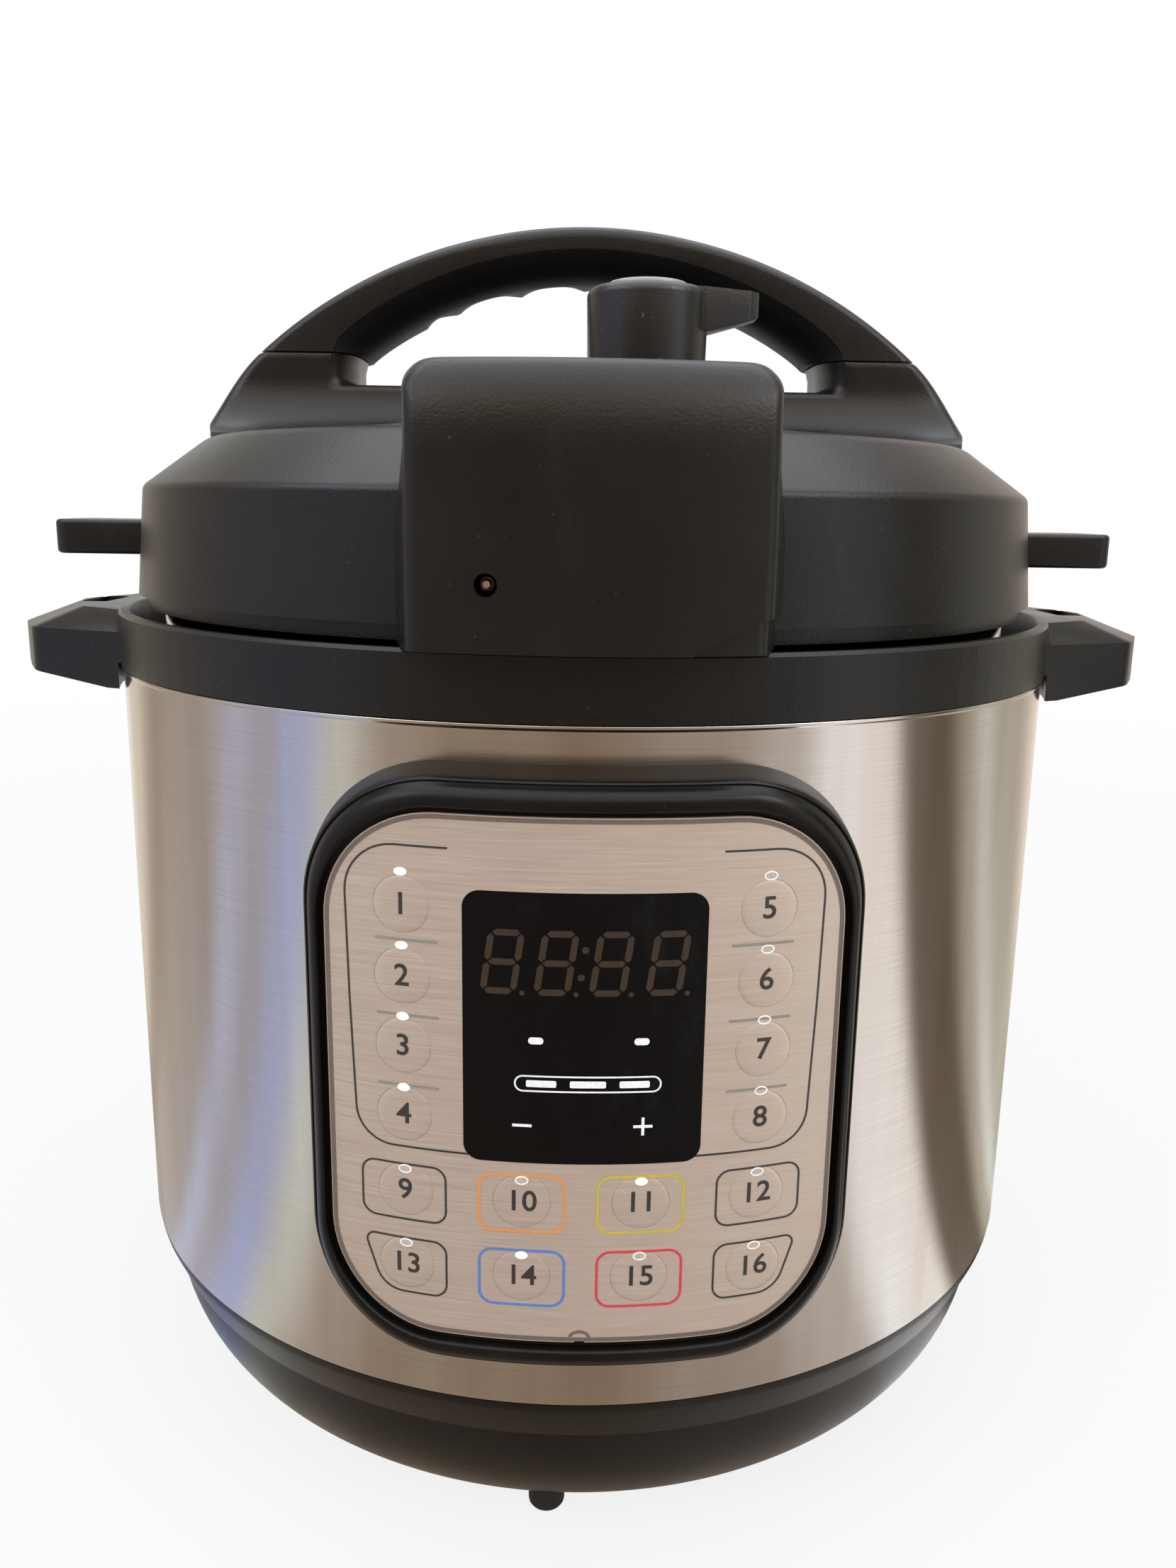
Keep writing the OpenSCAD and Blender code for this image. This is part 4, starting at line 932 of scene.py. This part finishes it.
def addLidCover():
    wall = lid["wall"]
    outer = roundedPath(lidSkin(0), False, 8)
    inner = []
    for index, (out, z, *corner) in enumerate(lidSkin(0)):
        inner.append((max(0, out - wall), z - (wall if index > 1 else 0), *corner))
    inner = roundedPath(inner, False, 8)
    lipIn, lipOut, lipZ = lid["skirtR"] - wall - 1.2, lid["skirtR"] - wall + 0.2, lid["skirtZ"]
    lip = [(lipIn, lipZ - lid["lipDrop"]), (lipOut, lipZ - lid["lipDrop"]), (lipOut, lipZ)]
    cap = spun(lip + outer + list(reversed(inner))[:-1] + [(lipIn, lipZ + 2)], True, 192)
    feet = cut(swept([footLoop(z) for z in footHeights()]), openingTool())
    cover = cut(cap, feet, finPrism(0), finPrism(180), how="UNION")
    dressed(cut(cover, *valveHoles(lid["knobHole"], 255, 300)), "lid_cover", 38)


# Handle: hard shell over a soft grip

def evenly(points, count):
    lengths = [0.0]
    for start, end in zip(points, points[1:]):
        lengths.append(lengths[-1] + (end - start).length)
    spread = []
    index = 0
    for step in range(count + 1):
        want = lengths[-1] * step / count
        while index < len(points) - 2 and lengths[index + 1] < want:
            index += 1
        share = (want - lengths[index]) / (lengths[index + 1] - lengths[index])
        spread.append(points[index].lerp(points[index + 1], share))
    return spread


def creasePath():
    # the line between shell and grip, which curls down at its ends
    radius, centreZ, curl = arch["creaseR"], arch["creaseZ"], arch["curlFrom"]
    rest = [-curl * (1 - step / 30) for step in range(31)]
    rest = [Vector((x, centreZ + math.sqrt(radius * radius - x * x))) for x in rest]
    half = bezier((-arch["curlX"], arch["seamZ"]), (-arch["curlX"], arch["curlZ"]), rest[0]) + rest[1:]
    return evenly(half + [Vector((-point.x, point.y)) for point in reversed(half[:-1])], arch["steps"])


def archLine(radius, centreZ):
    # over the top, from seam to seam
    up = arch["seamZ"] - centreZ
    low = math.degrees(math.atan2(up, -math.sqrt(radius ** 2 - up ** 2)))
    return evenly(arcPath((0, centreZ), radius, low, 180 - low, 90), arch["steps"])


def addHandle():
    half, edge = arch["half"], arch["edge"]
    sections = []
    for inner, outer in zip(creasePath(), archLine(arch["outerR"], arch["outerZ"])):
        thick = (outer - inner).length - 0.25
        across = (outer - inner).normalized()
        flat = roundedPath([(-half, 0, 0.5), (half, 0, 0.5), (half, thick, edge), (-half, thick, edge)],
                           True, 7)
        sections.append([Vector((inner.x + across.x * up, y, inner.y + across.y * up + 0.2))
                         for y, up in flat])
    dressed(swept(sections), "handle_shell", 40)
    sections = []
    for inner, lower in zip(creasePath(), archLine(arch["gripR"], arch["creaseZ"])):
        deep = (lower - inner).length - 0.1
        down = (lower - inner).normalized()
        turn = math.degrees(math.atan2(inner.x, inner.y - arch["creaseZ"])) + arch["waveShift"]
        inside = max(0.0, min(1.0, (arch["waveReach"] - abs(turn)) / 3))
        waves = inside * abs(math.cos(math.pi * turn / arch["wavePitch"]))
        section = []
        for step in range(25):
            y = -half + 2 * half * step / 24
            share = (1 - abs(y / half) ** 2.4) ** 0.75
            pinch = waves * arch["waveDeep"] * max(0, min(1, (y + 5) / 11)) * share ** 0.4
            lift = max(0.0, deep * share - pinch)
            section.append(Vector((inner.x + down.x * lift, y, inner.y + down.y * lift + 0.15)))
        back = inner - down * 0.6
        section += [Vector((back.x, y, back.y + 0.15)) for y in (half - 1, -half + 1)]
        sections.append(section)
    dressed(swept(sections), "handle_grip", 50)


# Valve block on the front of the lid

block = {"reach": 141, "half": 33.4, "lowZ": 222.7, "topZ": 278.0, "frontRound": 19, "frontPull": 8.5,
         "sideRound": 6, "cornerR": 3.4, "backY": -64, "wall": 2.5, "stepDeep": 1.2, "knobHole": 4.1,
         "seatR": 7, "pinR": 2.3, "stepLine": ((16.4, 221), (33.4, 229.7), (52, 230.9), (52, 221)),
         "solidLine": ((12, 218), (33.4, 232.5), (52, 233.5), (52, 218))}


def blockLoop(z, inset):
    top = block["topZ"] - inset
    front = min(1.0, max(0.0, 1 - (top - z) / block["frontRound"]))
    side = min(block["sideRound"], max(0.0, z - (top - block["sideRound"])))
    pull = block["frontPull"] * (1 - math.sqrt(1 - front * front))
    tuck = block["sideRound"] - math.sqrt(block["sideRound"] ** 2 - side ** 2) + inset
    reach = block["reach"] - inset - pull
    foot = math.sqrt(reach * reach - (block["half"] - tuck + 2) ** 2)
    edge = block["half"] - tuck + 6 * (block["reach"] + 4 - foot) / 23
    corner = -math.sqrt(reach * reach - edge * edge)
    radius = block["cornerR"] + 3.5 * side / block["sideRound"]
    wide = block["half"] - tuck
    lean = 1 - 0.45 * max(0.0, min(1.0, (z - 245) / 25))
    points = [(-wide - 9.5 * lean, block["backY"] - inset), (-wide - 8 * lean, -95), (-wide - 6 * lean, -122),
              (-edge, corner, radius)]
    count = 7
    for step in range(1, count):
        x = -edge + 2 * edge * step / count
        points.append((x, -math.sqrt(reach * reach - x * x)))
    points += [(edge, corner, radius), (wide + 6 * lean, -122), (wide + 8 * lean, -95),
               (wide + 9.5 * lean, block["backY"] - inset)]
    path = roundedPath(points, True, 6)
    return [Vector((point.x, point.y, z)) for point in path]


def blockBody(inset, lowZ):
    top = block["topZ"] - inset
    heights = [lowZ, 245, 250, 254, top - block["frontRound"]]
    for step in range(1, 19):
        heights.append(top - block["frontRound"] * (1 - math.sin(math.radians(5 * step))))
    return [blockLoop(min(z, top - 0.02), inset) for z in heights]


def addBlock():
    low = block["lowZ"]
    body = swept(blockBody(0, low))
    step = cut(prism(block["stepLine"], -160, -60, "XZ"), swept(blockBody(block["stepDeep"], low - 4)))
    pin = moved(turned(rod(block["pinR"], 120, 150, lid["floatX"], 0, 40), 90, "X"), z=lid["pinZ"])
    seat = rod(block["seatR"], 266, 277, lid["knobX"], lid["knobY"])
    hollow = cut(swept(blockBody(block["wall"], low - 2)), seat, prism(block["solidLine"], -160, -60, "XZ"))
    holes = valveHoles(block["knobHole"], 260, 290)
    dressed(cut(body, hollow, solidLid(0.2), step, pin, *holes), "valve_block", 34)


# Steam release knob with its lever and cap

knob = {"radius": 13.5, "lowZ": 278.3, "topZ": 298, "lever": 24.5, "round": 3.2, "wellR": 9.0,
        "wellDeep": 1.2, "hollowR": 11.4, "postR": 7, "stemR": 4.05, "capR": 8.9}


def addKnob():
    low, top, radius, well = knob["lowZ"], knob["topZ"], knob["radius"], knob["wellR"]
    floor = top - knob["wellDeep"]
    section = roundedPath([(0, low), (radius - 0.3, low, 0.4), (radius, top, knob["round"]),
                           (well + 0.1, top, 0.4), (well, floor, 0.1), (0, floor)], False, 6)
    body = spun(section, False, 96)
    tip = knob["lever"]
    plan = roundedPath([(0, -8), (radius - 1, -6.5, 3), (tip - 2, -4, 1.5), (tip, -2, 1.2), (tip, 2, 1.2),
                        (tip - 2, 4, 1.5), (radius - 1, 6.5, 3), (0, 8)], True, 5)
    side = roundedPath([(9, top - 10), (radius, top - 9, 3), (tip, top - 6.2, 1), (tip + 1, top - 0.8, 1),
                        (radius - 2, top - 0.2), (9, top - 0.2)], True, 4)
    lever = cut(prism(plan, 260, 310), prism(side, -12, 12, "XZ"), how="INTERSECT")
    roundEdges(lever, 0.8, 35, 3)
    bore = cut(rod(knob["hollowR"], low - 3, top - 4), rod(knob["postR"], low - 4, top))
    bm = cut(cut(body, lever, how="UNION"), bore, rod(knob["stemR"], low - 1, low + 12.2))
    roundEdges(bm, 0.5, 50, 2, lambda middle: middle.x > radius - 4 and middle.z > low + 5)
    dressed(moved(bm, lid["knobX"], lid["knobY"]), "steam_knob", 38)
    rim = knob["capR"]
    section = roundedPath([(1.6, top - 1), (rim, top - 1), (rim, top + 1.1, 0.9), (rim - 2.3, top + 1.5, 0.5),
                           (rim - 3, top + 0.6, 0.5), (1.9, top + 0.55, 0.3)], True, 4)
    dressed(moved(spun(section, True, 72), lid["knobX"], lid["knobY"]), "knob_cap", 38)


addLidCover()
addHandle()
addBlock()
addKnob()
print("lid pieces made")


# Housing: steel sleeve, plastic base and the top ring with its side handles

housing = {"sleeveR": 131, "sleeveT": 0.8, "lowZ": 50, "topZ": 207.8, "creaseR": 126.7, "creaseZ": 38.6,
           "baseR": 111.9, "floorZ": 8, "wall": 2.5, "lip": 12, "ringR": 131.6, "ringTop": 222.2,
           "ringWall": 3, "inletHalf": 17, "inletLow": 14, "inletHigh": 38, "inletY": 127.7, "footR": 104,
           "footAngles": (-94, -4, 86, 176), "screwR": 60, "screwAngles": (45, 135, 225, 315),
           "vents": 12, "ventR": 83, "ventHalf": 11, "ventWide": 3, "pillarX": 34, "pillarY": 22}
handle = {"reach": 164, "rootHalf": 40, "tipHalf": 27, "slotMiddle": 143.15, "slotHalfX": 3.85,
          "slotHalfY": 10.5, "faceIn": 4, "tipIn": 15, "edge": 0.9}


def addSleeve():
    outer, inner = housing["sleeveR"], housing["sleeveR"] - housing["sleeveT"]
    top = housing["topZ"]
    section = roundedPath([(inner, housing["lowZ"]), (outer, housing["lowZ"], 0.35), (outer, top - 1.4, 0.5),
                           (outer + 0.45, top - 0.9, 0.4), (outer + 0.45, top - 0.35, 0.3), (outer, top, 0.3),
                           (inner, top)], True, 4)
    hole = roundedBox(panel["half"] - 7, panel["height"] - 14, panel["round"] - 7, (0, panel["middle"]))
    hole = prism(hole, -150, -60, "XZ")
    dressed(cut(spun(section, True, 240), hole), "steel_housing", 50)


def roundHoles(holeR, radius, angles, low, high):
    turns = [math.radians(angle) for angle in angles]
    return [rod(holeR, low, high, radius * math.cos(turn), radius * math.sin(turn)) for turn in turns]


def baseSection():
    wall, low, crease, baseR = housing["wall"], housing["floorZ"], housing["creaseZ"], housing["baseR"]
    outside = bezier((housing["creaseR"] - 0.7, crease - 0.6), (housing["creaseR"] - 2.2, crease - 18),
                     (baseR, low + 1.6), 16)
    rim, lipLow, lipHigh = housing["sleeveR"], housing["lowZ"], housing["lowZ"] + housing["lip"]
    section = [(0, low), (baseR - 3.5, low)] + list(reversed(outside))
    section += [(housing["creaseR"], crease), (housing["creaseR"] + 0.25, crease + 0.5),
                (rim - 0.55, lipLow - 2.6), (rim - 0.3, lipLow - 1.6), (rim - 0.3, lipLow - 0.25),
                (rim - 1, lipLow), (rim - 1, lipHigh), (rim - 1 - wall, lipHigh), (rim - 1 - wall, lipLow)]
    section += [(x - wall, z) for x, z in outside]
    return section + [(baseR - wall - 1, low + wall), (0, low + wall)]


def addBase():
    low, inside = housing["floorZ"], housing["floorZ"] + housing["wall"]
    half, y = housing["inletHalf"], housing["inletY"]
    middle = (0, (housing["inletLow"] + housing["inletHigh"]) / 2)
    tall = housing["inletHigh"] - housing["inletLow"]
    surround = prism(roundedBox(half + 3, tall + 6, 5, middle, 6), y - 18, y, "XZ")
    shell = cut(spun(baseSection(), False, 192), surround, how="UNION")
    tools = [prism(roundedBox(half + 0.2, tall + 0.4, 0.5, middle, 2), y - 22.2, y + 20, "XZ")]
    tools += roundHoles(2, housing["footR"], housing["footAngles"], low - 1, inside + 1)
    tools += roundHoles(2.2, housing["screwR"], housing["screwAngles"], low - 1, inside + 1)
    for count in range(housing["vents"]):
        slot = roundedBox(housing["ventHalf"], housing["ventWide"], 1.4, (housing["ventR"], 0), 4)
        tools.append(turned(prism(slot, low - 1, inside + 1), 30 * count + 15, "Z"))
    pillars = []
    for x in (-housing["pillarX"], housing["pillarX"]):
        for y in (-housing["pillarY"], housing["pillarY"]):
            pillars.append(cut(rod(4, inside - 0.4, low + 9, x, y), rod(1.2, low + 3, low + 10, x, y)))
    dressed(merged(cut(shell, *tools), *pillars), "base_shell", 36)


def handlePlan(edgeIn, tipIn):
    # outline of a side handle, drawn in along its front and at its tip
    reach, root, tip = handle["reach"], handle["rootHalf"] - edgeIn, handle["tipHalf"] - edgeIn
    outline = [(100, root + 13), (126, root + 1.6), (reach - 11.5 - tipIn * 0.8, tip + 4, 6),
               (reach - 7.2 - tipIn, tip - 3.8, 8), (reach - 2.5 - tipIn, tip - 14, 10), (reach - tipIn, 0)]
    outline += [(point[0], -point[1], *point[2:]) for point in reversed(outline[:-1])]
    return roundedPath(outline, True, 6)


def sideHandle(side):
    ring, low, top, reach = housing["ringR"], housing["topZ"], housing["ringTop"], handle["reach"]
    sections = []
    levels = ((low - 20, 0, 0), (top - 6.4, 0, 0), (top - 0.8, handle["faceIn"], handle["tipIn"]))
    for z, edgeIn, tipIn in levels:
        sections.append([Vector((point.x, point.y, z)) for point in handlePlan(edgeIn, tipIn)])
    under = prism([(90, 150), (reach + 5, 150), (reach + 5, low - 1.8), (ring - 2, low - 7.3),
                   (90, low - 7.3)], -80, 80, "XZ")
    slot = roundedBox(handle["slotHalfX"], 2 * handle["slotHalfY"], 2, (handle["slotMiddle"], 0), 4)
    bm = cut(swept(sections), under, prism(slot, low - 30, top + 30))
    roundEdges(bm, handle["edge"], 24, 3, lambda middle: middle.x > ring + 1 and abs(middle.y) > 1)
    bm = cut(bm, rod(ring - housing["ringWall"] + 0.5, low - 40, top + 40, sides=192),
             rod(ring + 0.9, low - 40, low - 0.2, sides=192))
    bmesh.ops.scale(bm, vec=(side, 1, 1), verts=bm.verts)
    bmesh.ops.recalc_face_normals(bm, faces=bm.faces)
    return bm


def addRing():
    low, top = housing["topZ"] - 20, housing["ringTop"] + 5
    around = cut(rod(200, low, top, sides=64), rod(housing["ringR"], low - 5, top + 5, sides=256))
    ring = cut(cadCopy("top_ring"), around)
    ring = cut(ring, sideHandle(1), sideHandle(-1), how="UNION")
    dressed(ring, "top_ring", 28)


addSleeve()
addBase()
addRing()
print("housing made")


# covered all round, so they keep the shapes they have
hidden = {"power_board", "pressure_switch", "sensor_spring", "thermal_fuse", "display_module",
          "control_board", "lock_spring", "base_screws", "lid_bolt", "handle_screws", "seal_rack"}


def dressOthers():
    for node in sorted(set(slotOf) - madeHere):
        if node in hidden:
            cad = frame["nodes"][node]
            cad.data.materials.clear()
            cad.data.materials.append(looks[slotOf[node]])
        else:
            dressed(roundEdges(cadCopy(node), 0.25, 32), node)


dressOthers()
print("nodes dressed")


# Floor, world and lights

def seenDirectly(tree):
    # one for camera, glossy and transmission rays
    rays = addNode(tree, "ShaderNodeLightPath")
    seen = sums(tree, "ADD", rays.outputs["Is Camera Ray"], rays.outputs["Is Glossy Ray"], clamp=True)
    return sums(tree, "ADD", seen, rays.outputs["Is Transmission Ray"], clamp=True)


def fadedOut(tree, start, end, near, far):
    length = addNode(tree, "ShaderNodeVectorMath", {"operation": "LENGTH"})
    tree.links.new(objectPlace(tree), length.inputs[0])
    return remap(tree, length.outputs["Value"], start, end, near, far, True)


def disc(radius, z=0.0):
    bm = bmesh.new()
    bmesh.ops.create_circle(bm, cap_ends=True, segments=96, radius=radius)
    return moved(bm, z=z)


def addFloor():
    material, tree, surface = bareMaterial("paleFloor")
    shade = stageSetup["floorShade"]
    matte = addNode(tree, "ShaderNodeBsdfDiffuse", Color=(shade, shade, shade, 1))
    glow = addNode(tree, "ShaderNodeEmission", Strength=1.0)
    mixer = addNode(tree, "ShaderNodeMixShader")
    fade = fadedOut(tree, stageSetup["fadeFrom"], stageSetup["fadeTo"], stageSetup["floorGlow"], 1.0)
    tree.links.new(sums(tree, "MULTIPLY", seenDirectly(tree), fade), mixer.inputs[0])
    tree.links.new(matte.outputs[0], mixer.inputs[1])
    tree.links.new(glow.outputs[0], mixer.inputs[2])
    tree.links.new(mixer.outputs[0], surface)
    floor = baked(disc(stageSetup["floorReach"]), "floor", material)


def addWorld():
    world = bpy.data.worlds.new("studio")
    bpy.context.scene.world = world
    world.use_nodes = True
    tree = world.node_tree
    tree.nodes.clear()
    output = addNode(tree, "ShaderNodeOutputWorld")
    shade = addNode(tree, "ShaderNodeBackground", Color=(1, 1, 1, 1))
    light = remap(tree, seenDirectly(tree), 0, 1, stageSetup["worldLight"], 1.0)
    tree.links.new(light, shade.inputs["Strength"])
    tree.links.new(shade.outputs[0], output.inputs[0])


# azimuth, height, distance and size in metres, and watts; 0 is the right, -90 the front
lamps = {
    "keyLamp": {"azimuth": -140, "height": 1.1, "distance": 1.6, "size": (0.9, 1.2), "power": 9,
                "colour": (0.93, 0.96, 1)},
    "fillLamp": {"azimuth": -35, "height": 0.9, "distance": 1.7, "size": (0.8, 1.2), "power": 7,
                 "colour": (1, 0.97, 0.92)},
    "topLamp": {"azimuth": -90, "height": 2.0, "distance": 0.5, "size": (1.4, 1.0), "power": 8,
                "colour": (1, 1, 1)},
}


def addLamps():
    for name, lamp in lamps.items():
        data = bpy.data.lights.new(name, "AREA")
        data.shape = "RECTANGLE"
        data.size, data.size_y = lamp["size"]
        data.energy = lamp["power"]
        data.color = lamp["colour"]
        light = link(bpy.data.objects.new(name, data))
        light.visible_glossy = False
        turn = math.radians(lamp["azimuth"])
        reach = lamp["distance"]
        light.location = (reach * math.cos(turn), reach * math.sin(turn), lamp["height"])
        aim = Vector((0, 0, 0.16)) - light.location
        light.rotation_euler = aim.to_track_quat("-Z", "Y").to_euler()


# a tent that only reflections see, which gives the steel its upright bands: degrees round
# from the front, and the shade there
tent = {"radius": 1500, "height": 1700, "roofShade": (2.8, 2.85, 2.95), "roofEdge": 0.25,
        "roofFade": (2.0, 2.3), "frontRise": 7, "backRise": 0.4, "bands": (
    (-180, (1.0, 1.0, 1.0)), (-152, (1.0, 1.0, 0.95)), (-133, (0.85, 0.75, 0.6)), (-118, (0.5, 0.42, 0.35)),
    (-107, (0.6, 0.52, 0.45)), (-91, (0.58, 0.53, 0.5)), (-82, (0.7, 0.72, 0.9)), (-74, (0.6, 0.58, 0.66)),
    (-64, (0.62, 0.7, 1.05)), (-54, (0.9, 0.92, 0.85)), (-42, (0.6, 0.5, 0.42)), (-28, (0.45, 0.35, 0.26)),
    (0, (0.4, 0.3, 0.22)), (26, (0.55, 0.46, 0.4)), (46, (0.8, 0.74, 0.68)), (56, (1.4, 1.4, 1.4)),
    (69, (1.35, 1.3, 1.25)), (76, (0.24, 0.19, 0.15)), (88, (0.2, 0.16, 0.12)), (97, (0.6, 0.54, 0.44)),
    (104, (0.9, 0.88, 0.8)), (113, (0.62, 0.6, 0.5)), (123, (0.62, 0.56, 0.46)), (141, (0.95, 0.82, 0.72)),
    (157, (1.2, 1.1, 1.05)))}


def glossOnly(obj):
    for ray in ("camera", "diffuse", "transmission", "volume_scatter", "shadow"):
        setattr(obj, "visible_" + ray, False)


def tentWall():
    material, tree, surface = bareMaterial("tentBands")
    split = addNode(tree, "ShaderNodeSeparateXYZ")
    tree.links.new(objectPlace(tree), split.inputs[0])
    angle, height = aroundAxis(tree, objectPlace(tree))
    ramp = addNode(tree, "ShaderNodeValToRGB")
    ramp.color_ramp.interpolation = "EASE"
    stops = ramp.color_ramp.elements
    for index, (degrees, shade) in enumerate(tent["bands"]):
        where = (degrees + 180) / 360
        stop = stops[index] if index < 2 else stops.new(where)
        stop.position = where
        stop.color = (*shade, 1)
    tree.links.new(remap(tree, angle, -math.pi, math.pi, 0, 1), ramp.inputs[0])
    glow = addNode(tree, "ShaderNodeEmission")
    tree.links.new(ramp.outputs[0], glow.inputs["Color"])
    gain = remap(tree, split.outputs["Y"], -0.3, 0.5, tent["frontRise"] - 1, tent["backRise"] - 1, True)
    share = remap(tree, height, 0.8, 1.5, 0, 1, True)
    tree.links.new(sums(tree, "MULTIPLY_ADD", share, gain, 1.0), glow.inputs["Strength"])
    tree.links.new(glow.outputs[0], surface)
    path = [(10, 0.5), (tent["radius"], 0.5), (tent["radius"], tent["height"])]
    return baked(spun(path, False, 96), "tentWall", material)


def tentRoof():
    material, tree, surface = bareMaterial("tentRoof")
    glow = addNode(tree, "ShaderNodeEmission", Color=(*tent["roofShade"], 1))
    tree.links.new(fadedOut(tree, *tent["roofFade"], 1, tent["roofEdge"]), glow.inputs["Strength"])
    tree.links.new(glow.outputs[0], surface)
    return baked(disc(tent["radius"], tent["height"]), "tentRoof", material)


addFloor()
addWorld()
addLamps()
glossOnly(tentWall())
glossOnly(tentRoof())
print("stage and lights set")
